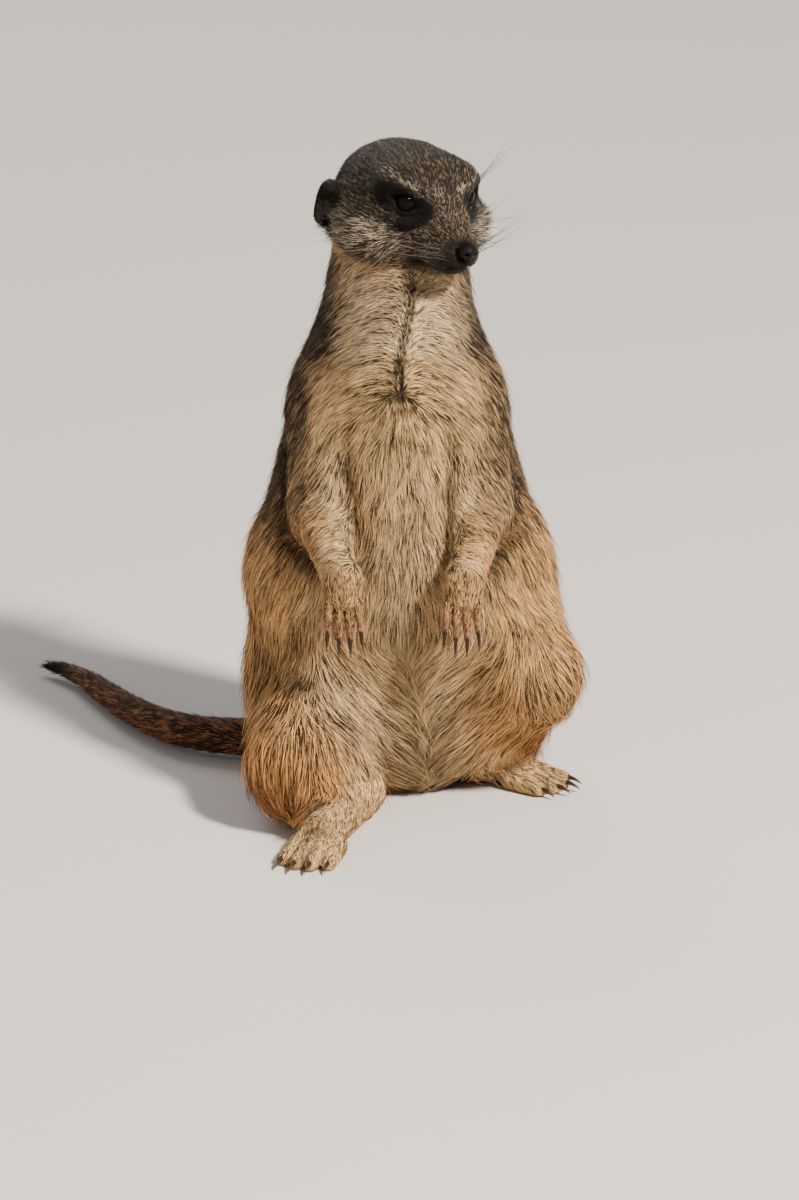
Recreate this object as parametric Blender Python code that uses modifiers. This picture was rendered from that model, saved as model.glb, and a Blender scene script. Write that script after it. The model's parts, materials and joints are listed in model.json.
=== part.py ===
"""A life-size meerkat sitting upright on its rump, head turned to its own left, tail laid round behind it.

The body is one distance field of ellipsoids and tapered limbs that run softly into each other. The field becomes
one closed mesh, which thin cutters then part into head, neck, trunk, limbs and tail. Eyes and claws are pieces of
their own. The outline is that of the coat. The tables are in millimetres and the scene in metres.
The animal faces -Y, its own left is +X, and the floor under its rump is z = 0.
"""

import math

import bmesh
import bpy
import numpy as np
import openvdb
from mathutils import Euler, Matrix, Vector

MM = 0.001
GRID_STEP = 1.0  # spacing of the distance field
FAR = 40.0  # the field's value away from everything
FIELD_LOW, FIELD_HIGH = (-164, -108, -6), (80, 158, 268)
BODY_TRIANGLES = 3350  # of the whole body, before it is parted
GAP = 0.35  # width of every cut between two pieces
SIDES = {"left": 1, "right": -1}

# The head's middle, and how far it is turned to its left, dipped and leaned
HEAD_MIDDLE = (-0.8, 4.0, 234.6)
HEAD_TURN, HEAD_DIP, HEAD_LEAN = 35.0, 12.0, 3.5
# In the head's own axes, on its left: the nose points along -Y
EYE_MIDDLE, EYE_RADIUS = (12.4, -15.2, 5.8), 5.3
EAR_ROOT = 27.2

ARMS = {
    "left": dict(shoulder=(24, 0, 156), elbow=(28, -19, 117), wrist=(20.5, -49, 98), knuckles=(19.8, -53, 91.5)),
    "right": dict(shoulder=(-33.5, 0, 156), elbow=(-35.5, -19, 117), wrist=(-25.5, -49, 98), knuckles=(-25, -53, 91.5)),
}
SHOULDER_RADIUS, ELBOW_RADIUS, WRIST_RADIUS, KNUCKLE_RADIUS = 12.2, 11.0, 7.9, 6.0
LEGS = {
    "left": dict(hip=(30, 16, 47), knee=(45, -16, 52), heel=(18, 20, 10), ball=(42, 4, 7.4)),
    "right": dict(hip=(-30, 16, 44), knee=(-41, -45, 23), heel=(-19, -38, 10.5), ball=(-34, -82, 7.4)),
}
HIP_RADIUS, KNEE_RADIUS, SHIN_RADIUS, HEEL_RADIUS, BALL_RADIUS = 33.0, 22.0, 15.8, 9.5, 8.2
TAIL = (
    (-3, 44, 19),
    (-32, 45, 12),
    (-61, 35, 9),
    (-88, 45, 8.2),
    (-106, 68, 7.4),
    (-120, 97, 6.4),
    (-129, 118, 5.6),
    (-140, 136, 4.8),
    (-151, 144, 4.2),
)
TAIL_ROOT_RADIUS, TAIL_TIP_RADIUS = 11.0, 4.4
DIGITS = 4  # toes on each foot
FINGER_TIP_RADIUS, TOE_TIP_RADIUS = 2.0, 3.4
HAND_CLAW, FOOT_CLAW = 7.5, 7.0
CLAW_RADIUS, CLAW_TIP = 1.35, 0.6
NOSE_MIDDLE, NOSE_RADIUS = (0, -42.0, -4.8), 4.8
GROWN = 2.6  # how far a sleeve stands off its limb
SLEEVE_TRIANGLES = 130
SLEEVE_STEP = 3.0  # spacing of the distance field of a sleeve
LARGEST_CHIP = 20.0  # mm3
TAIL_ROOT_SHARES = (0.08, 0.16, 0.24)  # of the tail's length
TAIL_LENGTHS = {"tail_middle": (0.24, 0.5), "tail_end": (0.5, 0.8), "tail_tip": (0.8, 1.0)}
NODE_COLOURS = {  # by how a node's name starts
    "ear": "coat_black",
    "nose": "nose",
    "eye": "eye",
    "claw": "claw",
    "tail_tip": "coat_black",
    "thigh": "coat_tan",
    "hand": "coat_pale",
    "foot": "coat_pale",
    "chest": "coat_pale",
}

COLOURS = {  # colour, roughness
    "coat_grey": ((0.36, 0.27, 0.18, 1), 0.85),
    "coat_tan": ((0.50, 0.34, 0.18, 1), 0.85),
    "coat_pale": ((0.58, 0.47, 0.33, 1), 0.85),
    "coat_black": ((0.02, 0.017, 0.015, 1), 0.8),
    "nose": ((0.03, 0.022, 0.02, 1), 0.45),
    "eye": ((0.02, 0.012, 0.008, 1), 0.08),
    "claw": ((0.05, 0.042, 0.038, 1), 0.35),
}


# ---------------------------------------------------------------- the distance field


def head_frame():
    """The head's own axes, in the body's, in millimetres."""
    turn = Matrix.Rotation(math.radians(HEAD_TURN), 4, "Z")
    dip = Matrix.Rotation(math.radians(HEAD_DIP), 4, "X")
    lean = Matrix.Rotation(math.radians(HEAD_LEAN), 4, "Y")
    return Matrix.Translation(HEAD_MIDDLE) @ turn @ dip @ lean


class Blob:
    """An ellipsoid in a frame of its own, turned by Euler angles in degrees."""

    def __init__(self, middle, radii, frame=None, turn=(0, 0, 0)):
        angles = Euler([math.radians(a) for a in turn]).to_matrix().to_4x4()
        place = (frame or Matrix()) @ Matrix.Translation(middle) @ angles
        self.radii = np.array(radii, float)
        self.axes = np.array(place.to_3x3())
        self.middle = np.array(place.translation)

    def box(self):
        reach = np.sqrt(((self.axes * self.radii) ** 2).sum(axis=1))
        return self.middle - reach, self.middle + reach

    def distance(self, points):
        local = (points - self.middle) @ self.axes
        once = np.linalg.norm(local / self.radii, axis=-1)
        twice = np.linalg.norm(local / self.radii**2, axis=-1)
        return once * (once - 1) / np.maximum(twice, 1e-6)


class Limb:
    """A limb with round ends, from one point and radius to another."""

    def __init__(self, start, end, start_radius, end_radius, frame=None):
        place = frame or Matrix()
        self.start = np.array(place @ Vector(start))
        self.end = np.array(place @ Vector(end))
        self.radii = start_radius, end_radius

    def box(self):
        most = max(self.radii)
        return np.minimum(self.start, self.end) - most, np.maximum(self.start, self.end) + most

    def distance(self, points):
        along = self.end - self.start
        share = np.clip((points - self.start) @ along / (along @ along), 0, 1)
        nearest = self.start + share[..., None] * along
        radius = self.radii[0] + share * (self.radii[1] - self.radii[0])
        return np.linalg.norm(points - nearest, axis=-1) - radius


def soft_least(a, b, soft):
    """The lesser of two distances, rounded off where they are within soft of each other."""
    overlap = np.maximum(soft - np.abs(a - b), 0) / soft
    return np.minimum(a, b) - overlap**2 * soft / 4


class Field:
    """Distances to the body's surface on a grid, below zero inside it."""

    def __init__(self, low, high, step):
        self.low, self.step = np.array(low, float), step
        counts = np.ceil((np.array(high) - self.low) / step).astype(int) + 1
        self.distance = np.full(counts, FAR, np.float32)

    def window(self, form, margin):
        """The part of the grid round a form, and its points."""
        low, high = form.box()
        first = np.maximum(np.floor((low - margin - self.low) / self.step), 0).astype(int)
        last = np.minimum(np.ceil((high + margin - self.low) / self.step) + 1, self.distance.shape).astype(int)
        axes = [self.low[k] + self.step * np.arange(first[k], last[k]) for k in range(3)]
        points = np.stack(np.meshgrid(*axes, indexing="ij"), axis=-1)
        return tuple(slice(a, b) for a, b in zip(first, last)), points

    def join(self, form, soft):
        window, points = self.window(form, soft + 3 * self.step)
        self.distance[window] = soft_least(self.distance[window], form.distance(points), soft)

    def hollow(self, form, soft):
        window, points = self.window(form, soft + 3 * self.step)
        self.distance[window] = -soft_least(-self.distance[window], form.distance(points), soft)

    def mesh(self, name):
        """The body's surface as a mesh in metres."""
        grid = openvdb.FloatGrid(FAR)
        grid.copyFromArray(self.distance)
        points, triangles, quads = grid.convertToPolygons(isovalue=0.0, adaptivity=0.0)
        made = bpy.data.meshes.new(name)
        places = (self.low + points * self.step) * MM
        made.from_pydata(places.tolist(), [], triangles.tolist() + quads.tolist())
        return made


# ---------------------------------------------------------------- the animal's forms


def add_trunk(field):
    for middle, radii, soft in (
        ((-5, 8, 134), (46, 36, 42), 1),  # ribs
        ((-5, 8, 159), (38, 28, 28), 14),  # shoulders
        ((-4, 5, 85), (61.5, 44, 54), 18),  # belly
        ((-1, 12, 45), (58, 43, 50), 18),  # rump
    ):
        field.join(Blob(middle, radii), soft)
    field.join(Limb((-5, 9, 176), (-4, 10, 222), 32, 25), 16)  # neck


def add_head(field):
    frame = head_frame()
    for middle, radii, soft in (
        ((0, 2, 0), (25.5, 27.5, 20.5), 12),  # braincase
        ((0, -11, 4.5), (18.5, 14, 14), 9),  # forehead
    ):
        field.join(Blob(middle, radii, frame), soft)
    field.join(Limb((0, -14, -5), (0, -34, -8.6), 13.5, 7.6, frame), 8)  # muzzle
    field.join(Limb((0, -14, 5), (0, -37, -4.6), 8, 4.4, frame), 6)  # bridge of the nose
    field.join(Limb((0, -8, -15), (0, -32, -14), 9, 4.2, frame), 5)  # lower jaw
    for side in SIDES.values():
        for middle, radii, soft in (
            ((17 * side, -1, -9), (12.5, 17, 12.5), 8),  # cheek
            ((25 * side, -8, -10), (7.5, 8, 9), 6),  # cheek ruff
            ((12.5 * side, -12, 11), (8.5, 8, 5.5), 9),  # brow
            ((5.4 * side, -31, -9.5), (6, 8.5, 5.6), 4),  # whisker pad
        ):
            field.join(Blob(middle, radii, frame), soft)
        field.hollow(Blob((16.5 * side, -21.5, 5.4), (6, 5, 4.4), frame, (0, 0, 38 * side)), 4)  # eye socket
        field.join(Blob((30 * side, 9.6, -4.5), (6.2, 5, 10.4), frame, (0, 0, -18 * side)), 3)  # ear
        field.hollow(Blob((33.6 * side, 5.2, -5), (5, 5.4, 7.4), frame, (0, 0, -18 * side)), 1.5)  # its cup
    field.join(Blob((0, -40.2, -5.8), (5, 4.4, 4.2), frame), 2)  # nose


def add_arm(field, joints):
    field.join(Limb(joints["shoulder"], joints["elbow"], SHOULDER_RADIUS, ELBOW_RADIUS), 8)
    field.join(Limb(joints["elbow"], joints["wrist"], ELBOW_RADIUS, WRIST_RADIUS), 1)
    field.join(Limb(joints["wrist"], joints["knuckles"], WRIST_RADIUS, KNUCKLE_RADIUS), 3)
    for start, end in fingers(joints):
        field.join(Limb(start, end, 2.7, FINGER_TIP_RADIUS), 1.5)


def add_leg(field, joints):
    field.join(Limb(joints["hip"], joints["knee"], HIP_RADIUS, KNEE_RADIUS), 14)
    field.join(Limb(joints["knee"], joints["heel"], KNEE_RADIUS - 2, HEEL_RADIUS), 8)
    field.join(Limb(joints["heel"], joints["ball"], HEEL_RADIUS, BALL_RADIUS), 4)
    for start, end in toes(joints):
        field.join(Limb(start, end, 4.2, TOE_TIP_RADIUS), 2.5)


def fingers(joints):
    """(root, tip) of each finger, spread across the knuckles and hanging from them."""
    wrist, knuckles = Vector(joints["wrist"]), Vector(joints["knuckles"])
    down = (knuckles - wrist).normalized().lerp(Vector((0, 0, -1)), 0.75).normalized()
    across = Vector((1, 0, 0))
    for i in range(DIGITS):
        spread = i - (DIGITS - 1) / 2
        reach = 11.5 - 1.3 * spread**2
        root = knuckles + across * 3.6 * spread + down * 1.5
        yield root, root + down * reach + across * 0.5 * spread


def toes(joints):
    """(root, tip) of each toe, fanned out from the ball of the foot."""
    heel, ball = Vector(joints["heel"]), Vector(joints["ball"])
    ahead = (ball - heel) * Vector((1, 1, 0))
    ahead.normalize()
    across = Vector((-ahead.y, ahead.x, 0))
    for i in range(DIGITS):
        spread = i - (DIGITS - 1) / 2
        reach = 16 - 1.5 * spread**2
        root = ball + across * 4.6 * spread
        tip = root + ahead * reach + across * 1.1 * spread
        tip.z = 3.2
        yield Vector((root.x, root.y, 5.5)), tip


def tail_point(share):
    """A point on the tail's smooth middle line, share 0 at its root and 1 at its tip, by Catmull-Rom."""
    spans = len(TAIL) - 1
    at = min(share * spans, spans - 1e-6)
    i, t = int(at), at - int(at)
    a, b, c, d = (Vector(TAIL[min(max(i + k, 0), spans)]) for k in (-1, 0, 1, 2))
    return 0.5 * (2 * b + (c - a) * t + (2 * a - 5 * b + 4 * c - d) * t**2 + (3 * b - a - 3 * c + d) * t**3)


def tail_radius(share):
    return TAIL_ROOT_RADIUS + (TAIL_TIP_RADIUS - TAIL_ROOT_RADIUS) * share**0.7


def add_tail(field):
    steps = 28
    for i in range(steps):
        start, end = i / steps, (i + 1) / steps
        field.join(Limb(tail_point(start), tail_point(end), tail_radius(start), tail_radius(end)), 5 if i < 3 else 1)


def floor_cut(mesh):
    """Cuts a mesh off flat at the floor, and closes it there."""
    work = bmesh.new()
    work.from_mesh(mesh)
    everything = work.verts[:] + work.edges[:] + work.faces[:]
    cut = bmesh.ops.bisect_plane(
        work, geom=everything, dist=1e-6, plane_co=(0, 0, 0), plane_no=(0, 0, -1), clear_outer=True
    )
    rim = [e for e in cut["geom_cut"] if isinstance(e, bmesh.types.BMEdge)]
    bmesh.ops.holes_fill(work, edges=rim, sides=0)
    bmesh.ops.triangulate(work, faces=work.faces[:])
    bmesh.ops.recalc_face_normals(work, faces=work.faces[:])
    work.to_mesh(mesh)
    work.free()


def whole_body():
    """The body as one closed object, flat where it meets the floor, of about BODY_TRIANGLES."""
    field = Field(FIELD_LOW, FIELD_HIGH, GRID_STEP)
    add_trunk(field)
    add_head(field)
    for side in SIDES:
        add_arm(field, ARMS[side])
        add_leg(field, LEGS[side])
    add_tail(field)
    body = thinned(link(bpy.data.objects.new("body", field.mesh("body")), PARTS), BODY_TRIANGLES)
    floor_cut(body.data)
    return body


# ---------------------------------------------------------------- parting


def link(obj, collection):
    for owner in obj.users_collection:
        owner.objects.unlink(obj)
    collection.objects.link(obj)
    return obj


def applied(obj):
    """Puts an object's evaluated mesh in place of its mesh and modifiers."""
    mesh = bpy.data.meshes.new_from_object(obj.evaluated_get(bpy.context.evaluated_depsgraph_get()))
    obj.modifiers.clear()
    obj.data = mesh
    return obj


def thinned(obj, triangles):
    obj.data.calc_loop_triangles()
    thin = obj.modifiers.new("thin", "DECIMATE")
    thin.ratio = min(1, triangles / len(obj.data.loop_triangles))
    thin.use_collapse_triangulate = True
    return applied(obj)


def as_cutter(obj):
    link(obj, CUTTERS)
    obj.display_type = "WIRE"
    obj.hide_render = True
    return obj


def disc(middle, normal, radius):
    """A thin round cutter across a limb or the trunk."""
    bpy.ops.mesh.primitive_cylinder_add(vertices=16, radius=radius * MM, depth=GAP * MM)
    made = bpy.context.object
    made.location = Vector(middle) * MM
    made.rotation_euler = Vector(normal).to_track_quat("Z", "Y").to_euler()
    return as_cutter(made)


def sleeve(forms, triangles=SLEEVE_TRIANGLES):
    """A thin closed shell round some forms, which parts them from what they grow into."""
    lows, highs = zip(*(form.box() for form in forms))
    field = Field(np.min(lows, axis=0) - 8, np.max(highs, axis=0) + 8, SLEEVE_STEP)
    for form in forms:
        field.join(form, 6)
    made = link(bpy.data.objects.new("sleeve", field.mesh("sleeve")), PARTS)
    thinned(made, triangles)
    wall = made.modifiers.new("wall", "SOLIDIFY")
    wall.thickness = GAP * MM
    wall.offset = 0
    return as_cutter(applied(made))


def dimensions(obj):
    """(low corner, high corner, volume) of a closed mesh, in millimetres."""
    obj.data.calc_loop_triangles()
    points = np.array([v.co for v in obj.data.vertices]) / MM
    corners = points[np.array([t.vertices for t in obj.data.loop_triangles])]
    return points.min(axis=0), points.max(axis=0), np.linalg.det(corners).sum() / 6


def part(obj, cutters, seeds):
    """Cuts an object, and names its loose pieces, each after the seed point nearest to it. Chips are dropped."""
    for cutter in cutters:
        obj.modifiers.new("cut", "BOOLEAN").object = cutter
    applied(obj)
    for cutter in cutters:
        bpy.data.objects.remove(cutter)
    bpy.ops.object.select_all(action="DESELECT")
    obj.select_set(True)
    bpy.context.view_layer.objects.active = obj
    bpy.ops.mesh.separate(type="LOOSE")
    clouds = {p: np.array([v.co for v in p.data.vertices]) / MM for p in bpy.context.selected_objects}
    if len(clouds) < len(seeds):
        raise ValueError(f"cutting for {list(seeds)} gave only {len(clouds)} pieces")
    for i, piece in enumerate(clouds):
        piece.name = f"loose_{i}"
    found = {}
    for name, seed in seeds.items():
        nearest = min(clouds, key=lambda p: np.linalg.norm(clouds[p] - np.array(seed), axis=1).min())
        del clouds[nearest]
        nearest.name = nearest.data.name = name
        found[name] = nearest
    for chip in clouds:
        low, high, volume = dimensions(chip)
        if volume > LARGEST_CHIP:
            print(f"an unnamed piece of {volume:.0f} mm3 between {low.round()} and {high.round()} is dropped")
        bpy.data.objects.remove(chip)
    return found


def part_limbs(body):
    """Parts the arms, shanks and feet from the body, then the thighs and the tail."""
    cutters, seeds = [], {"trunk": (-4, 40, 100)}
    for side in SIDES:
        arm, leg = ARMS[side], LEGS[side]
        below_knee = Vector(leg["knee"]).lerp(leg["heel"], 0.4)
        cutters.append(
            sleeve(
                [
                    Limb(arm["shoulder"], arm["elbow"], SHOULDER_RADIUS + 2 * GROWN, ELBOW_RADIUS + GROWN),
                    Limb(arm["elbow"], arm["wrist"], ELBOW_RADIUS + GROWN, WRIST_RADIUS + GROWN),
                    Limb(arm["wrist"], Vector(arm["knuckles"]) + Vector((0, 0, -10)), 11, 12),
                ]
            )
        )
        cutters.append(
            sleeve(
                [
                    Limb(below_knee, leg["heel"], SHIN_RADIUS + 1.5 * GROWN, HEEL_RADIUS + GROWN),
                    Limb(leg["heel"], leg["ball"], HEEL_RADIUS + GROWN, 15),
                    Limb(leg["ball"], list(toes(leg))[1][1], 17, 16),
                ]
            )
        )
        seeds["arm_" + side] = arm["wrist"]
        seeds["leg_" + side] = leg["ball"]
    found = part(body, cutters, seeds)
    root = [tail_point(share) for share in TAIL_ROOT_SHARES]
    radii = [tail_radius(share) + GROWN for share in TAIL_ROOT_SHARES]
    cutters = [sleeve([Limb(*ends) for ends in zip(root, root[1:], radii, radii[1:])])]
    found |= part(found.pop("trunk"), cutters, {"trunk": (-4, 40, 100), "tail_root": root[1], "tail": TAIL[5]})
    cutters, seeds = [], {"trunk": (-4, 40, 100)}
    for side, sign in SIDES.items():
        cutters.append(disc((44 * sign, 8, 46), (0.84 * sign, -0.12, -0.54), 78))
        seeds["thigh_" + side] = (62 * sign, 8, 45)
    found |= part(found.pop("trunk"), cutters, seeds)
    return found


def part_lengthwise(found):
    """Parts the trunk, the arms, the legs and the tail into their lengths."""
    under_head = Matrix.Rotation(math.radians(HEAD_TURN), 3, "Z") @ Vector((0, -0.3, 1))
    trunk = [
        disc((-4, 8, 217), under_head, 46),
        disc((-5, 9, 180), (0, -0.1, 1), 50),
        disc((-5, 5, 113), (0, 0, 1), 80),
        disc((-2, 5, 66), (0, -0.1, 1), 90),
    ]
    names = dict(head=(-1, 30, 245), neck=(-4, 36, 200), chest=(-4, 42, 150), belly=(-4, -40, 90), rump=(-1, 50, 40))
    found |= part(found.pop("trunk"), trunk, names)
    for side in SIDES:
        arm, leg = ARMS[side], LEGS[side]
        elbow, wrist = Vector(arm["elbow"]), Vector(arm["wrist"])
        upper, lower = elbow - Vector(arm["shoulder"]), wrist - elbow
        cutters = [disc(elbow, upper.normalized() + lower.normalized(), 19), disc(wrist, lower, 12)]
        seeds = {
            f"upper_arm_{side}": arm["shoulder"],
            f"forearm_{side}": elbow.lerp(wrist, 0.5),
            f"hand_{side}": arm["knuckles"],
        }
        found |= part(found.pop("arm_" + side), cutters, seeds)
        cutters = [disc(Vector(leg["heel"]) + Vector((0, 0, 8)), (0, 0, 1), 60)]
        seeds = {f"shank_{side}": leg["knee"], f"foot_{side}": leg["ball"]}
        found |= part(found.pop("leg_" + side), cutters, seeds)
    cutters, seeds = [], {}
    for name, (start, end) in TAIL_LENGTHS.items():
        seeds[name] = tail_point((start + end) / 2)
        if start > TAIL_ROOT_SHARES[-1]:
            cutters.append(disc(tail_point(start), tail_point(start + 0.02) - tail_point(start - 0.02), 12))
    found |= part(found.pop("tail"), cutters, seeds)
    return found


def part_head(found):
    """Parts the ears and the nose from the head, and opens the sockets that the eyes sit in."""
    frame = head_frame()
    turn = frame.to_3x3()
    cutters = [sleeve([Blob(NOSE_MIDDLE, (NOSE_RADIUS,) * 3, frame)], 160)]
    seeds = {"head": frame @ Vector((0, 30, 5)), "nose": frame @ Vector((0, -44, -5.5))}
    for side, sign in SIDES.items():
        ear = frame @ Vector((EAR_ROOT * sign, 11, -4.5))
        cutters.append(disc(ear, turn @ Vector((sign, 0.55, 0)), 18))
        seeds["ear_" + side] = frame @ Vector((36 * sign, 10, 4))
        socket = ball("socket", EYE_RADIUS + GAP, eye_middle(sign))
        cutters.append(as_cutter(socket))
    found |= part(found.pop("head"), cutters, seeds)
    return found


# ---------------------------------------------------------------- eyes and claws


def eye_middle(sign):
    return head_frame() @ Vector((EYE_MIDDLE[0] * sign, EYE_MIDDLE[1], EYE_MIDDLE[2]))


def ball(name, radius, middle):
    bpy.ops.mesh.primitive_uv_sphere_add(segments=14, ring_count=8, radius=radius * MM)
    made = link(bpy.context.object, PARTS)
    made.name = made.data.name = name
    made.location = Vector(middle) * MM
    return made


def claw(name, root, ahead, length, bend):
    """A tapered claw from root, bending down as it goes, each ring turned half a side past the last."""
    rings, sides = 3, 6
    work = bmesh.new()
    last = None
    place, direction = Vector(root), Vector(ahead).normalized()
    turn = direction.to_track_quat("Z", "Y")
    first = None
    for i in range(rings + 1):
        share = i / rings
        thick = CLAW_RADIUS + (CLAW_TIP - CLAW_RADIUS) * share
        ring = [
            work.verts.new((place + turn @ Vector((thick * math.cos(a), thick * math.sin(a), 0))) * MM)
            for a in (2 * math.pi * (k + i / 2) / sides for k in range(sides))
        ]
        if last:
            for k in range(sides):
                work.faces.new((last[k], last[(k + 1) % sides], ring[k]))
                work.faces.new((last[(k + 1) % sides], ring[(k + 1) % sides], ring[k]))
        first = first or ring
        last = ring
        place += direction * (length / rings)
        bent = (direction + Vector(bend) / rings).normalized()
        turn = direction.rotation_difference(bent) @ turn
        direction = bent
    work.faces.new(first[::-1])
    work.faces.new(last)
    bmesh.ops.recalc_face_normals(work, faces=work.faces[:])
    bmesh.ops.triangulate(work, faces=work.faces[:])
    mesh = bpy.data.meshes.new(name)
    work.to_mesh(mesh)
    work.free()
    return link(bpy.data.objects.new(name, mesh), PARTS)


def add_claws():
    for side in SIDES:
        for i, (root, tip) in enumerate(fingers(ARMS[side]), 1):
            ahead = (tip - root).normalized()
            start = tip + ahead * (FINGER_TIP_RADIUS + GAP)
            claw(f"claw_hand_{side}_{i}", start, ahead, HAND_CLAW, (0, 0.5, -0.1))
        for i, (root, tip) in enumerate(toes(LEGS[side]), 1):
            ahead = (tip - root).normalized()
            start = tip + ahead * (TOE_TIP_RADIUS + GAP)
            claw(f"claw_foot_{side}_{i}", start, ahead, FOOT_CLAW, (0, 0, -0.1))


# ---------------------------------------------------------------- the whole part


def material(name):
    colour, roughness = COLOURS[name]
    made = bpy.data.materials.new(name)
    made.use_nodes = True
    made.diffuse_color = colour
    shader = made.node_tree.nodes["Principled BSDF"]
    shader.inputs["Base Color"].default_value = colour
    shader.inputs["Roughness"].default_value = roughness
    return made


def colour_of(name):
    for start, colour in NODE_COLOURS.items():
        if name.startswith(start):
            return colour
    return "coat_grey"


def build():
    pieces = part_limbs(whole_body())
    pieces = part_lengthwise(pieces)
    part_head(pieces)
    for side, sign in SIDES.items():
        ball("eye_" + side, EYE_RADIUS, eye_middle(sign))
    add_claws()
    shades = {name: material(name) for name in COLOURS}
    for obj in PARTS.objects:
        obj.data.materials.clear()
        obj.data.materials.append(shades[colour_of(obj.name)])
        obj.data.shade_smooth()


for old in list(bpy.data.objects):
    bpy.data.objects.remove(old)
PARTS = bpy.data.collections.new("meerkat")
CUTTERS = bpy.data.collections.new("cutters")
for made_collection in (PARTS, CUTTERS):
    bpy.context.scene.collection.children.link(made_collection)
build()
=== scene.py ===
"""A museum model of a meerkat in mesh fur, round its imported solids.

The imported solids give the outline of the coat. One skin lies inside them by the coat's depth, and each lock
of the coat is a thin ribbon that grows from that skin, lies along it and ends near the outline.
Shapes are worked out in millimetres, in the frame's axes: the animal faces -Y and its own left is +X.
"""

import itertools
import json
import math
from collections import namedtuple

import bpy
import numpy as np
import openvdb
from mathutils import Matrix, Vector

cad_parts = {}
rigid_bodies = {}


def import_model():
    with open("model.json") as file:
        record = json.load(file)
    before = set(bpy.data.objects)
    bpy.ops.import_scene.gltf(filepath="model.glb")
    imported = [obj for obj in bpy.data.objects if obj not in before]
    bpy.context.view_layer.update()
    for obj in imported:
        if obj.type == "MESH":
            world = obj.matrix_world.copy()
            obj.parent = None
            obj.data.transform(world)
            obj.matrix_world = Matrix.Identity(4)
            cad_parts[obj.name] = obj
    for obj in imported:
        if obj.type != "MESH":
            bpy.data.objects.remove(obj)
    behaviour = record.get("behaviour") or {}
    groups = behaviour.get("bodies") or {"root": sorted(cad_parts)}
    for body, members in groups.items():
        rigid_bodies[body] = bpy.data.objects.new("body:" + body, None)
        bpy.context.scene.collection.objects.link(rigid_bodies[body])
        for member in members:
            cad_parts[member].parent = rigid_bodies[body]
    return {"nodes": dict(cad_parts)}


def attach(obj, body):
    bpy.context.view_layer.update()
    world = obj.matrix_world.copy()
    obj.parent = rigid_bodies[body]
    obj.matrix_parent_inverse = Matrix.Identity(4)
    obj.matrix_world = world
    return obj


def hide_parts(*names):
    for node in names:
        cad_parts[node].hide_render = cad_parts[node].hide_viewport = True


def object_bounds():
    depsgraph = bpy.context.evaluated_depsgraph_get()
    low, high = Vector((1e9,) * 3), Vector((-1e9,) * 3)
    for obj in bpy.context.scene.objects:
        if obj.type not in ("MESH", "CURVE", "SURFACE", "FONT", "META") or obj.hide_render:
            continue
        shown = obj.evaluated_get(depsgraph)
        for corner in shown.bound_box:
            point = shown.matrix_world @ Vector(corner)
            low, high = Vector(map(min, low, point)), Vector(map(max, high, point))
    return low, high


MM = 0.001


# ---- sizes, in millimetres

SIDES = {"left": 1, "right": -1}  # and the sign of x there
SKIN_STEP = 0.8  # spacing of the skin's distance field
REACH = 11.0  # how far from the surface that field runs
REGION_STEP = 3.0  # spacing of the field that says which part of the body is near
REGION_REACH = 24.0  # how far that field runs
REGION_BLEND = 2.0  # how softly one part of the body passes into the next
SKIN_TRIANGLES = 90_000
CUT = 0.35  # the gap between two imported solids

# the head's middle and its turns in degrees; then places in the head's own axes, on its left
HEAD_MIDDLE, HEAD_TURN, HEAD_DIP, HEAD_LEAN = (-0.8, 4.0, 234.6), 35.0, 12.0, 3.5
EYE_MIDDLE, EYE_RADIUS = (12.4, -15.2, 5.8), 5.3
CORNEA = 0.07  # the bulge of the cornea, as a share of the eyeball's radius
LID = 0.9  # thickness of an eyelid
LID_OPENING = (0.90, 0.62)  # half angles of the gap between the lids, in radians
NOSE_MIDDLE = (0, -42.0, -4.8)
MOUTH = (  # half of the mouth's line, from its middle to its corner
    (0, -41.8, -11.2), (3.9, -39.3, -12.2), (5.8, -33, -13.6),
    (7, -26, -15), (8.8, -20, -16), (10.3, -10, -17),
)
MOUTH_RADIUS = 0.75  # of the groove along the mouth
LID_BLEND, MOUTH_BLEND = 1.2, 0.6  # how softly lids and mouth join the face
LID_SLOPE = 3.0  # how steeply the gap between the lids is cut

# length of a finger or toe, and its radius at its root and its tip
DIGITS = {"hand": (11.5, 1.75, 1.15), "foot": (15.0, 3.6, 2.2)}
DIGIT_BLEND, PAW_BLEND = 0.4, 1.2  # how softly they join each other, and then the paw
CLAW_COVER = 0.9  # how far a digit covers its claw
TOE_RISE = 1.8  # of a toe's knuckle above its tip
CLAWS = {"hand": (0.95, (0, -1.0, 0.2)), "foot": (1.15, (0, 0, 1.0))}  # a claw's radius, the way that it bows
CLAW_ARCH = 1.1  # how far it bows from a straight line
CLAW_BURIED, CLAW_BEYOND = 2.0, 0.4  # how far it starts before its solid and ends past it
WHISKER_RADIUS = 0.13
TUBE_POINTS = 12  # along a claw or whisker
MIDLINE = -4.0  # x of the trunk's middle
CHIN_HEIGHT = 206  # where the throat's parting starts
WHORL_HEIGHT = 164.5  # where it ends
NAVEL_HEIGHT = 69.0  # where the belly's hair turns inward
ARMPIT_HEIGHTS = (138, 150)  # between which the arms join the trunk

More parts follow.
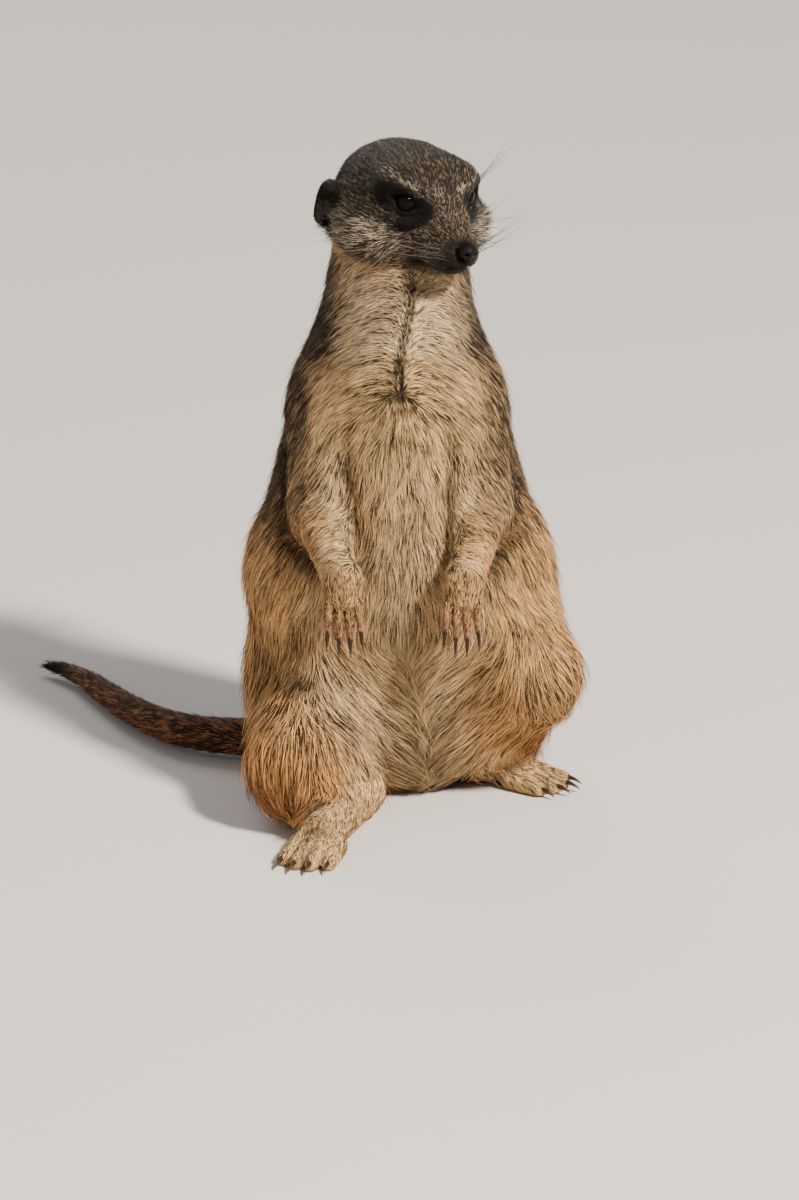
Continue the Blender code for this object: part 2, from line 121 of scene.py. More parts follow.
# depth of the coat, length and width of its locks, locks per mm2, pieces that each lock is bent into, the
# size of its clumps and the group of pieces that it is in, by how a node's name starts
Coat = namedtuple("Coat", "depth length width density bends clump group")
LENGTH, DENSITY = 1, 3  # their columns
COATS = {
    "head": Coat(1.6, 3.0, 0.20, 9.5, 2, 1.3, "head"),
    "ear": Coat(0.5, 2.2, 0.20, 7.0, 2, 1.3, "head"),
    "neck": Coat(2.8, 7.5, 0.22, 5.4, 2, 2.4, "neck"),
    "chest": Coat(3.2, 11.0, 0.22, 5.0, 2, 3.0, "trunk"),
    "belly": Coat(3.3, 11.5, 0.22, 5.0, 2, 3.0, "trunk"),
    "rump": Coat(4.4, 14.0, 0.28, 3.6, 2, 4.0, "trunk"),
    "upper_arm": Coat(2.7, 8.5, 0.22, 5.2, 2, 2.6, "arms"),
    "forearm": Coat(1.7, 5.8, 0.20, 6.8, 2, 2.0, "arms"),
    "hand": Coat(0.45, 3.2, 0.18, 7.0, 2, 1.2, "paws"),
    "thigh": Coat(4.8, 19.0, 0.29, 3.8, 3, 4.4, "thighs"),
    "shank": Coat(3.0, 10.0, 0.30, 4.4, 3, 3.4, "thighs"),
    "foot": Coat(1.2, 5.0, 0.24, 7.0, 2, 2.0, "paws"),
    "tail": Coat(1.8, 6.5, 0.30, 5.0, 2, 2.4, "tail"),
}
BLUR = {"head": 1.6, "ear": 0, "hand": 0, "foot": 0}  # of the solids' facets
BODY_BLUR = 5.0  # elsewhere
PAW_BLUR = 2.0  # of what lies round the paws
HOLLOW_BLUR = 16.0  # in the hollows beside the thighs
TRUNK_DEPTH = 3.8  # depth of the coat behind the paws
PARTING_SHORTER, PARTING_DENSER = 0.62, 0.9  # how much shorter and denser locks are at the throat's parting
FINGER_SPARSER = 0.75  # how much sparser on the fingers
ARM_GROOVE = 4.5  # how deep the coat parts between arm and trunk
CREASE_GROOVE = 0.8  # and along the creases of the throat and chest
PIECE_TRIANGLES = 190_000  # the most in one piece of the coat
SLOTS = {"head": "fur_grey", "neck": "fur_pale", "paws": "fur_pale"}  # the rest of the coat is fur_tan
PATCH = 0.003  # the part of the unwrap's width that a lock covers
CLUMP_EDGE = 0.65  # radius of a clump, as a share of its size
STRAND_WIDTH = 0.28  # width of the strands in a clump, as a share of the clump's
STRAND_STRETCH, HEAD_STRETCH = 6.0, 2  # how much longer than wide strands are
CLUMP_PULL, STRAND_PULL = 0.25, 0.5  # how far locks lean to the middles of their clumps and strands
HEAD_LOOSER = 0.3  # how much less on the head
LIFT_CURVE, PULL_CURVE = 0.8, 1.3  # how a lock's rise from the skin and its lean grow along it
SWAY, RIPPLE = 0.11, 0.04  # how far the lie turns in broad and in narrow waves
LOCK_TURN, CLUMP_TURN = 0.075, 0.07  # how far locks and clumps turn from the lie
DEPTHS, LENGTHS, WIDTHS = (0.35, 1.0), (0.7, 1.2), (0.7, 1.3)  # of locks, as shares of their coat's
LONG_LOCK, STRAYS = 8, (0.02, 0.09)  # the shares of short and long locks that stray
STRAY_DEPTH, STRAY_LENGTH = 1.7, 1.4  # how much farther out and longer they are
LOCK_ROLL, LOCK_TAPER = 0.9, 0.25  # the farthest a lock rolls, in radians, and how much it narrows
LOCK_SHADE = (0.55, 0.45, 0.15)  # shares of the skin's normal, the ribbon's own and its way in its shading
# being near the middle of its clump lightens a lock, so locks at clump edges are darker: painted shade in the
# gaps between clumps
LOT_SHARES = (0.15, 0.2, 0.65)  # of a clump, of being near its middle and of a strand, in a lock's shade
LOWEST_LOCK = 0.1  # height above the floor

# ---- the studio

CAMERA_AIM, CAMERA_DISTANCE, CAMERA_RISE, CAMERA_LENS = (-4, 0, 75.6), 3.0, math.radians(17), 234
FLOOR_COLOUR, SKY_COLOUR, SKY_STRENGTH = (0.62, 0.58, 0.53, 1), (0.88, 0.89, 0.92, 1), 0.32
LIGHTS_AIM = (0, 0, 0.12)
LIGHTS = (  # name, place in metres, size, power and colour
    ("key", (1.4, -1.5, 2.05), 0.28, 225, (1.0, 0.94, 0.85)),
    ("fill", (-1.8, -1.4, 0.9), 1.6, 11, (0.96, 0.97, 1.0)),
    ("back", (-0.6, 1.9, 1.6), 1.2, 24, (0.98, 0.98, 1.0)),
)


# ---- arrays


def smooth(value, start, end):
    """0 up to start and 1 from end on, with an even curve between them."""
    share = np.clip((value - start) / (end - start), 0, 1)
    return share * share * (3 - 2 * share)


def fade(value, start, end):
    return 1 - smooth(value, start, end)


def lengths(vectors):
    return np.linalg.norm(vectors, axis=1)


def unit(vectors):
    return vectors / np.maximum(np.linalg.norm(vectors, axis=-1, keepdims=True), 1e-9)


def dot(first, second):
    return (first * second).sum(axis=1, keepdims=True)


def mixed(first, second, share):
    """first where share is 0 and second where it is 1. Colours and vectors mix by rows."""
    share = np.asarray(share)
    rows = max(np.ndim(first), np.ndim(second)) == 2 or np.shape(second) == (3,)
    if share.ndim == 1 and rows:
        share = share[:, None]
    return first * (1 - share) + np.asarray(second) * share


class Grid:
    """Values on a regular lattice, read between its points."""

    def __init__(self, low, step, values):
        self.low, self.step = np.array(low, np.float32), step
        self.shape = values.shape[:3]
        self.values = values.reshape((-1,) + values.shape[3:])

    def cube(self):
        return self.values.reshape(self.shape + self.values.shape[1:])

    def points(self):
        """The places of the lattice's points."""
        axes = [self.low[a] + self.step * np.arange(self.shape[a], dtype=np.float32) for a in range(3)]
        return np.stack(np.meshgrid(*axes, indexing="ij"), axis=-1).reshape(-1, 3)

    def corners(self, points):
        """For each of the eight corners round the points: the corner, the share across, the values there."""
        place = (np.asarray(points, np.float32) - self.low) / self.step
        place = np.clip(place, 0, np.array(self.shape) - 1.001)
        cell = place.astype(np.int64)
        share = place - cell
        start = np.ravel_multi_index(cell.T, self.shape)
        for corner in itertools.product((0, 1), repeat=3):
            jump = (corner[0] * self.shape[1] + corner[1]) * self.shape[2] + corner[2]
            yield corner, share, self.values[start + jump]

    def at(self, points):
        total = 0
        for corner, share, found in self.corners(points):
            weight = np.prod(np.where(corner, share, 1 - share), axis=1)
            total = total + (weight[:, None] if found.ndim > 1 else weight) * found
        return total

    def slope(self, points):
        """The value and the unit gradient at each point."""
        value, rise = 0, 0
        for corner, share, found in self.corners(points):
            parts = np.where(corner, share, 1 - share).T
            value = value + parts[0] * parts[1] * parts[2] * found
            others = ((parts[1], parts[2]), (parts[0], parts[2]), (parts[0], parts[1]))
            changes = [(1 if c else -1) * a * b * found for c, (a, b) in zip(corner, others)]
            rise = rise + np.stack(changes, axis=1)
        return value, unit(rise)


def waves(points, length, seed, count=6):
    """A smooth random value about each point, near -1 to 1, with bumps about length apart."""
    random = np.random.default_rng(seed)
    total = 0
    for _ in range(count):
        way = unit(random.normal(size=3)) * 2 * math.pi / length * random.uniform(0.6, 1.3)
        total = total + np.sin(points @ way.astype(np.float32) + random.uniform(0, 6.28))
    return total / math.sqrt(count)


def three_waves(points, length, seed, count):
    return np.stack([waves(points, length, seed + a, count) for a in range(3)], axis=1)


def scattered(cells, seed):
    """Three random numbers from 0 to 1 for each whole-numbered cell."""
    mixed_up = cells.astype(np.int64) @ np.array([73856093, 19349663, 83492791]) + seed * 2654435761
    found = []
    for _ in range(3):
        mixed_up = (mixed_up ^ (mixed_up >> 13)) * 1274126177 & 0x7FFFFFFF
        found.append((mixed_up >> 7) % 65536 / 65536)
    return np.stack(found, axis=1).astype(np.float32)


def clumps(points, size, seed):
    """The nearest of the points strewn about size apart, and a random number of its own."""
    cell = np.floor(points / size[:, None]).astype(np.int64)
    nearest = np.full(len(points), np.inf, np.float32)
    middle = np.zeros_like(points)
    lot = np.zeros(len(points), np.float32)
    for step in itertools.product((-1, 0, 1), repeat=3):
        spot = cell + step
        random = scattered(spot, seed)
        centre = (spot + random) * size[:, None]
        away = ((points - centre) ** 2).sum(axis=1)
        closer = away < nearest
        nearest[closer] = away[closer]
        middle[closer] = centre[closer]
        lot[closer] = random[closer, 0]
    return middle.astype(np.float32), lot


def strands(points, lie, size, stretch):
    """Cells stretched along the hair: the way from each cell's middle line, and the cell's random number."""
    middle, lot = clumps(points, 4 * size, 6)
    way = unit(lie.at(middle))
    offset = points - middle
    reach = dot(offset, way)
    squeezed = offset - way * reach * (1 - 1 / stretch)[:, None] + 1000 * lot[:, None]
    centre, lot = clumps(squeezed, STRAND_WIDTH * size, 7)
    aside = squeezed - centre
    return aside - way * dot(aside, way), lot


# ---- the frame


def read(items, name, width, kind):
    """One row for each item of a mesh."""
    found = np.empty(len(items) * width, kind)
    items.foreach_get(name, found)
    return found.reshape(-1, width)


def points_of(obj):
    return read(obj.data.vertices, "co", 3, np.float32) / MM


def triangles_of(obj):
    obj.data.calc_loop_triangles()
    return read(obj.data.loop_triangles, "vertices", 3, np.int32).astype(np.uint32)


def level_set(points, triangles=None, quads=None, step=SKIN_STEP, reach=3 * SKIN_STEP):
    """Distances near a closed surface, less than 0 inside it."""
    return openvdb.FloatGrid.createLevelSetFromPolygons(
        points,
        triangles=triangles,
        quads=quads,
        transform=openvdb.createLinearTransform(voxelSize=step),
        halfWidth=reach / step,
    )


def dense(level, low, high, step):
    """A level set's distances as a lattice between two corners."""
    first = np.floor(np.array(low) / step).astype(int)
    count = np.ceil(np.array(high) / step).astype(int) - first + 1
    values = np.empty(count, np.float32)
    level.copyToArray(values, ijk=tuple(int(i) for i in first))
    return Grid(first * step, step, values)


def blurred(values, width, step):
    """Values blurred twice along each axis by a box that is width across."""
    half = max(int(round(width / step / 2)), 1)
    span = 2 * half + 1
    for _ in range(2):
        for axis in range(3):
            pad = [(half + 1, half) if a == axis else (0, 0) for a in range(3)]
            total = np.cumsum(np.pad(values, pad, mode="edge"), axis=axis, dtype=np.float32)
            ends = np.take(total, range(span, total.shape[axis]), axis=axis)
            starts = np.take(total, range(0, total.shape[axis] - span), axis=axis)
            values = (ends - starts) / span
    return values


def head_frame():
    """The head's place and turns."""
    turn = Matrix.Rotation(math.radians(HEAD_TURN), 4, "Z")
    dip = Matrix.Rotation(math.radians(HEAD_DIP), 4, "X")
    lean = Matrix.Rotation(math.radians(HEAD_LEAN), 4, "Y")
    return Matrix.Translation(HEAD_MIDDLE) @ turn @ dip @ lean


def in_head(points):
    """Points in the head's own axes: its nose points along -Y and its left is +X."""
    back = np.array(head_frame().inverted(), np.float32)
    return points @ back[:3, :3].T + back[:3, 3]


def out_of_head(points):
    ahead = np.array(head_frame(), np.float32)
    return np.asarray(points, np.float32) @ ahead[:3, :3].T + ahead[:3, 3]


def out_of_head_way(ways):
    return ways @ np.array(head_frame().to_3x3(), np.float32).T


def mirrored(points):
    """Points of the head, with those on its right moved across to its left."""
    return np.concatenate([np.abs(points[:, :1]), points[:, 1:]], axis=1)


def eye_middle(sign):
    return np.array((EYE_MIDDLE[0] * sign, *EYE_MIDDLE[1:]), np.float32)


def coat_of(name):
    """The coat of the node of that name."""
    return next(coat for start, coat in COATS.items() if name.startswith(start))


class Regions:
    """Which parts of the body are near each point."""

    def __init__(self, nodes, names, low, high):
        self.names = names
        near = []
        for name in names:
            solid = points_of(nodes[name]), triangles_of(nodes[name])
            grid = dense(level_set(*solid, step=REGION_STEP, reach=REGION_REACH), low, high, REGION_STEP)
            near.append(grid.values)
        near = np.stack(near, axis=1)
        weights = np.exp(-(near - near.min(axis=1, keepdims=True)) / REGION_BLEND)
        weights /= weights.sum(axis=1, keepdims=True)
        self.grid = Grid(grid.low, REGION_STEP, weights.reshape(grid.shape + (-1,)))

    def weights(self, points):
        """How much each point belongs to each part, one column a part."""
        return self.grid.at(points)

    def share(self, weights, *starts):
        """The weights of the parts whose names start so, taken together."""
        return weights[:, [i for i, name in enumerate(self.names) if name.startswith(starts)]].sum(axis=1)


# ---- the skin


def head_parts(points):
    """How much each point of the head belongs to its muzzle, cheeks and eye surrounds, from 0 to 1."""
    x, y, z = mirrored(points).T
    muzzle = smooth(-y, 19, 29)
    cheek = smooth(x, 9, 19) * smooth(-z, -1, 6) * smooth(-y, -16, -6) * (1 - muzzle)
    away = lengths(np.stack([x, y, z], axis=1) - EYE_MIDDLE)
    eye = fade(away, 6.5, 11)
    return muzzle, cheek, eye


def head_depth(points):
    """The coat's depth over the head."""
    muzzle, cheek, eye = head_parts(points)
    return mixed(mixed(1.5 + 1.5 * cheek, 0.7, muzzle), 0.5, eye)


def capsule(points, start, end, radius):
    """Distance from a rod with round ends."""
    start, along = np.array(start, np.float32), np.array(end, np.float32) - start
    share = np.clip((points - start) @ along / (along @ along), 0, 1)
    return lengths(points - start - share[:, None] * along) - radius


def eye_axes(sign):
    """The eye's outward way, its way towards the outer corner, and its way up, in the head's axes."""
    out = Vector((0.66 * sign, -0.74, 0.10)).normalized()
    corner = Vector((0.70 * sign, 0.66, 0.22))
    corner = (corner - out * corner.dot(out)).normalized()
    up = out.cross(corner) * sign
    return [np.array(v, np.float32) for v in (out, corner, up if up.z > 0 else -up)]


def lid_gap(points, sign):
    """Below 1 inside the gap between the lids, and how far in front of the eye's middle a point is."""
    out, corner, up = eye_axes(sign)
    offset = points - eye_middle(sign)
    ahead = offset @ out
    across = np.arctan2(offset @ corner, np.maximum(ahead, 0.1))
    above = np.arctan2(offset @ up, np.maximum(ahead, 0.1))
    return np.sqrt((across / LID_OPENING[0]) ** 2 + (above / LID_OPENING[1]) ** 2), ahead


def sculpt_face(values, points):
    """Lids over the eyes and a line for the mouth, cut into the distances at points of the head."""
    for sign in SIDES.values():
        ball = lengths(points - eye_middle(sign)) - (EYE_RADIUS + LID)
        values = soft_least(values, ball, LID_BLEND)
        gap, ahead = lid_gap(points, sign)
        values = np.where(ahead > 0.5, np.maximum(values, -LID_SLOPE * (gap - 1)), values)
        for start, end in itertools.pairwise(np.array(MOUTH) * (sign, 1, 1)):
            values = -soft_least(-values, capsule(points, start, end, MOUTH_RADIUS), MOUTH_BLEND)
    return values


def soft_least(a, b, width):
    """The lesser of two values, rounded where they are within width of each other."""
    share = np.clip(0.5 + 0.5 * (b - a) / width, 0, 1)
    return b * (1 - share) + a * share - width * share * (1 - share)


def solid_distances(nodes, names, low, high):
    """Distances from some solids taken together, with the cuts between them closed."""
    counts = np.cumsum([0] + [len(nodes[name].data.vertices) for name in names])
    solid = np.concatenate([points_of(nodes[name]) for name in names])
    faces = np.concatenate([triangles_of(nodes[name]) + n for name, n in zip(names, counts)])
    points, _, quads = level_set(solid, faces.astype(np.uint32)).convertToPolygons(isovalue=CUT)
    found = dense(level_set(points, quads=quads, reach=REACH), low, high, SKIN_STEP)
    found.values += CUT
    return found


def claw_line(node, paw):
    """Where a packed claw starts and ends: its root is the end nearer the paw's middle."""
    points = points_of(node)
    middle = points.mean(axis=0)
    axis = np.linalg.svd(points - middle, full_matrices=False)[2][0]
    axis = axis * np.sign(axis @ (middle - points_of(paw).mean(axis=0)))
    reach = (points - middle) @ axis
    return points[reach < reach.min() + 0.5].mean(axis=0), points[reach > reach.max() - 0.5].mean(axis=0)


def digit_lines(nodes, limb, side):
    """Knuckle and tip of each finger or toe, back from its claw."""
    length, _, radius = DIGITS[limb]
    lines = []
    for number in range(1, 5):
        root, tip = claw_line(nodes[f"claw_{limb}_{side}_{number}"], nodes[f"{limb}_{side}"])
        ahead = unit(tip - root)
        if limb == "foot":
            ahead = unit(ahead * (1, 1, 0))
        end = root - ahead * (radius - CLAW_COVER)
        start = end - ahead * length
        if limb == "foot":
            start = start + (0, 0, TOE_RISE)
        lines.append((start, end))
    return lines


def sculpt_paws(values, rest, points, nodes):
    """Parts each paw beyond its knuckles into fingers or toes. rest is the distance from all but the paws."""
    for limb, side in itertools.product(DIGITS, SIDES):
        length, thick, thin = DIGITS[limb]
        lines = digit_lines(nodes, limb, side)
        knuckles = np.mean([start for start, _ in lines], axis=0)
        ahead = unit(np.mean([end - start for start, end in lines], axis=0))
        offset = points - knuckles
        beyond = offset @ ahead
        reach = lengths(offset - ahead * length / 2)
        near = np.flatnonzero((reach < length + 4) & (beyond > -6))
        place = points[near]
        apart = np.full(len(near), REACH, np.float32)
        for start, end in lines:
            along = end - start
            radius = mixed(thick, thin, np.clip((place - start) @ along / (along @ along), 0, 1))
            apart = soft_least(apart, capsule(place, start, end, 0) - radius, DIGIT_BLEND)
        held = mixed(values[near], rest[near], smooth(beyond[near], -1, 6))
        values[near] = soft_least(held, mixed(REACH, apart, smooth(beyond[near], -5, -2)), PAW_BLEND)
    return values


def skin_field(nodes, flesh, low, high, regions):
    """Distances from the skin: the solids without their cuts, smoothed, and sunk by the coat's depth."""
    whole = solid_distances(nodes, flesh, low, high)
    others = [name for name in flesh if not name.startswith(tuple(DIGITS))]
    rest = solid_distances(nodes, others, low, high)
    cube = whole.cube()
    near = np.flatnonzero(np.abs(whole.values) < REACH - 0.5)
    places = np.stack(np.unravel_index(near, whole.shape), axis=1).astype(np.float32)
    places = places * np.float32(SKIN_STEP) + whole.low
    weights = regions.weights(places)
    soft = {0: cube.reshape(-1)[near]}
    for width in (BLUR["head"], BODY_BLUR, HOLLOW_BLUR):
        soft[width] = blurred(cube, width, SKIN_STEP).reshape(-1)[near]
    rest = blurred(rest.cube(), PAW_BLUR, SKIN_STEP).reshape(-1)[near]
    values = np.zeros(len(near), np.float32)
    depth = np.zeros(len(near), np.float32)
    head_places = in_head(places)
    for i, name in enumerate(flesh):
        start = next((s for s in BLUR if name.startswith(s)), None)
        values += weights[:, i] * soft[BLUR.get(start, BODY_BLUR)]
        depth += weights[:, i] * (head_depth(head_places) if name == "head" else coat_of(name).depth)
    arms = regions.share(weights, "upper_arm", "forearm")
    trunk = regions.share(weights, "chest", "belly")
    front = trunk + regions.share(weights, "neck")
    parted = 4 * arms * trunk * fade(places[:, 2], *ARMPIT_HEIGHTS)
    hollow = (4 * regions.share(weights, "thigh") * regions.share(weights, "belly", "rump", "shank")) ** 0.4
    values = mixed(values, np.minimum(values, soft[HOLLOW_BLUR]), hollow)
    values += depth + ARM_GROOVE * parted + CREASE_GROOVE * crease_lines(places) * front
    sunk = np.maximum(TRUNK_DEPTH * regions.share(weights, "chest", "belly", "rump", "thigh"), 1.0)
    values = sculpt_paws(values, rest + sunk, places, nodes)
    head = regions.share(weights, "head") > 0.2
    values[head] = sculpt_face(values[head], head_places[head])
    whole.values = cube.reshape(-1).copy()
    whole.values[near] = values
    return whole


def add_object(name, data):
    obj = bpy.data.objects.new(name, data)
    bpy.context.scene.collection.objects.link(obj)
    return obj


def make_mesh(name, points, faces):
    """A smooth object from points in millimetres, kept above the floor, and faces of as many corners each."""
    points[:, 2] = np.maximum(points[:, 2], 0)
    mesh = bpy.data.meshes.new(name)
    mesh.vertices.add(len(points))
    mesh.vertices.foreach_set("co", (points * MM).astype(np.float32).ravel())
    mesh.loops.add(faces.size)
    mesh.loops.foreach_set("vertex_index", faces.astype(np.int32).ravel())
    mesh.polygons.add(len(faces))
    mesh.polygons.foreach_set("loop_start", np.arange(0, faces.size, faces.shape[1], dtype=np.int32))
    mesh.update(calc_edges=True)
    mesh.polygons.foreach_set("use_smooth", np.ones(len(faces), bool))
    return add_object(name, mesh)


def make_skin(field):
    """The surface where the field is 0, thinned to its number of triangles."""
    level = openvdb.FloatGrid(REACH)
    level.copyFromArray(field.cube(), ijk=tuple(int(round(v / SKIN_STEP)) for v in field.low))
    level.transform = openvdb.createLinearTransform(voxelSize=SKIN_STEP)
    points, _, quads = level.convertToPolygons(isovalue=0.0, adaptivity=0.0)
    skin = make_mesh("skin", points, quads[:, ::-1])
    thin = skin.modifiers.new("thin", "DECIMATE")
    thin.ratio = SKIN_TRIANGLES / (2 * len(quads))
    thin.use_collapse_triangulate = True
    bpy.context.view_layer.update()
    made = skin.evaluated_get(bpy.context.evaluated_depsgraph_get())
    mesh = bpy.data.meshes.new_from_object(made)
    skin.modifiers.clear()
    skin.data = mesh
    return skin


def unwrap(obj):
    """An unwrap of the skin, named OFBake, for the skin's markings and the coat's."""
    bpy.context.view_layer.objects.active = obj
    obj.select_set(True)
    obj.data.uv_layers.new(name="OFBake")
    bpy.ops.object.mode_set(mode="EDIT")
    bpy.ops.mesh.select_all(action="SELECT")
    bpy.ops.uv.smart_project(angle_limit=math.radians(66), island_margin=0.001)
    bpy.ops.object.mode_set(mode="OBJECT")
    obj.select_set(False)


# ---- the markings


def srgb(red, green, blue):
    """A screen colour as the shaders take it."""
    found = np.array((red, green, blue), np.float32) / 255
    return np.where(found > 0.04045, ((found + 0.055) / 1.055) ** 2.4, found / 12.92)


SAND = srgb(194, 158, 112)
GOLD = srgb(200, 154, 100)
CREAM = srgb(236, 204, 152)
ORANGE = srgb(208, 150, 92)
GREY = srgb(152, 130, 102)
DARK = srgb(58, 42, 28)
BLACK = srgb(26, 23, 20)
PALE = srgb(170, 154, 132)
BROWN = srgb(146, 112, 80)
MUZZLE = srgb(114, 97, 80)
RUFOUS = srgb(140, 92, 54)
NAPE = srgb(96, 81, 63)
THROAT = srgb(196, 167, 130)
SHOULDER = srgb(126, 102, 75)
BACK = srgb(160, 128, 92)
SPOT = srgb(70, 60, 54)
PINK = srgb(176, 128, 94)
LEG = srgb(184, 124, 72)
CROWN = srgb(101, 87, 71)

# x and height of the dark spots on the belly, and their half sizes
SPOTS = (((-15.7, 44.0), (2.4, 2.4)), ((22.7, 44.0), (2.4, 2.4)), ((1.2, 84.0), (1.5, 4.5)))


def eye_patch(points):
    """0 at the middle of the black round each eye, 1 at its edge, and how far above the eye a point is."""
    out, corner, up = eye_axes(1)
    offset = mirrored(points) - np.array(EYE_MIDDLE)
    across, above = offset @ corner, offset @ up
    band = np.hypot((across - 1.5) / 11.5, (above + 0.4 - 0.15 * across) / 6.0)
    drop = np.hypot((across + 6.0) / 6.8, (above + 2.6 + 0.4 * (across + 6)) / 6.8)
    return soft_least(band, drop, 0.3) + 0.5 * smooth(-(offset @ out), 1, 6), above


def head_tone(points):
    """The colour of the head's coat, and how grizzled it is, in the head's axes."""
    x, y, z = mirrored(points).T
    noise = waves(points, 9, 31)
    tone = np.tile(CROWN, (len(points), 1))
    speckle = np.full(len(points), 1.0)
    # brown throat, pale cheeks and a pale streak over each eye
    under = smooth(-z + 0.5 * noise, 14, 18)
    tone = mixed(tone, BROWN, under)
    speckle = mixed(speckle, 0.3, under)
    cheek = smooth(x, 9, 15) * smooth(-z + 0.7 * noise, 0.5, 4.5) * fade(-z + noise, 12, 17)
    cheek = cheek * fade(y + noise, 6, 12)
    tone = mixed(tone, PALE, 0.9 * cheek)
    speckle = mixed(speckle, 0.8, cheek)
    patch, above = eye_patch(points)
    patch = patch + 0.06 * noise + 0.05 * waves(points, 3, 33) + 0.06 * waves(points, 1.2, 34)
    brow = smooth(above, 3, 7) * smooth(patch, 1.0, 1.15) * fade(patch, 1.3, 1.6)
    tone = mixed(tone, PALE, 0.6 * brow)
    speckle = mixed(speckle, 0.85, brow)
    # brown-grey bridge and muzzle, black at its end and along the lips
    muzzle = smooth(-y - 0.4 * z, 20, 29)
    tone = mixed(tone, MUZZLE, 0.9 * muzzle * (1 - 0.6 * cheek))
    speckle = mixed(speckle, 0.85, muzzle)
    lips = fade(mouth_distance(points) + 0.4 * noise, 1.6, 4.2) * smooth(-y, 5, 12)
    end = np.maximum(smooth(-y - 0.3 * z + 0.4 * noise, 35.5, 40.5), lips)
    tone = mixed(tone, BLACK, 0.9 * end)
    speckle = speckle * (1 - 0.7 * end)
    black = fade(patch, 0.86, 1.08)
    tone = mixed(tone, BLACK, black)
    speckle = speckle * (1 - 0.9 * black)
    # black ears, furred along the top
    ear = smooth(x + 0.3 * noise, 22, 24) * smooth(y + 0.3 * noise, 1, 3.5) * fade(y, 15, 18)
    ear = ear * smooth(z, -18, -15)
    furred = smooth(z + 0.6 * noise, 3.0, 5.0)
    tone = mixed(tone, BLACK, 0.92 * ear * (1 - 0.85 * furred))
    speckle = mixed(speckle, 0.8 * furred, ear)
    return tone, speckle


def mouth_distance(points):
    """Distance from the mouth's line, in the head's axes."""
    points = mirrored(points)
    return np.min([capsule(points, start, end, 0) for start, end in itertools.pairwise(MOUTH)], axis=0)


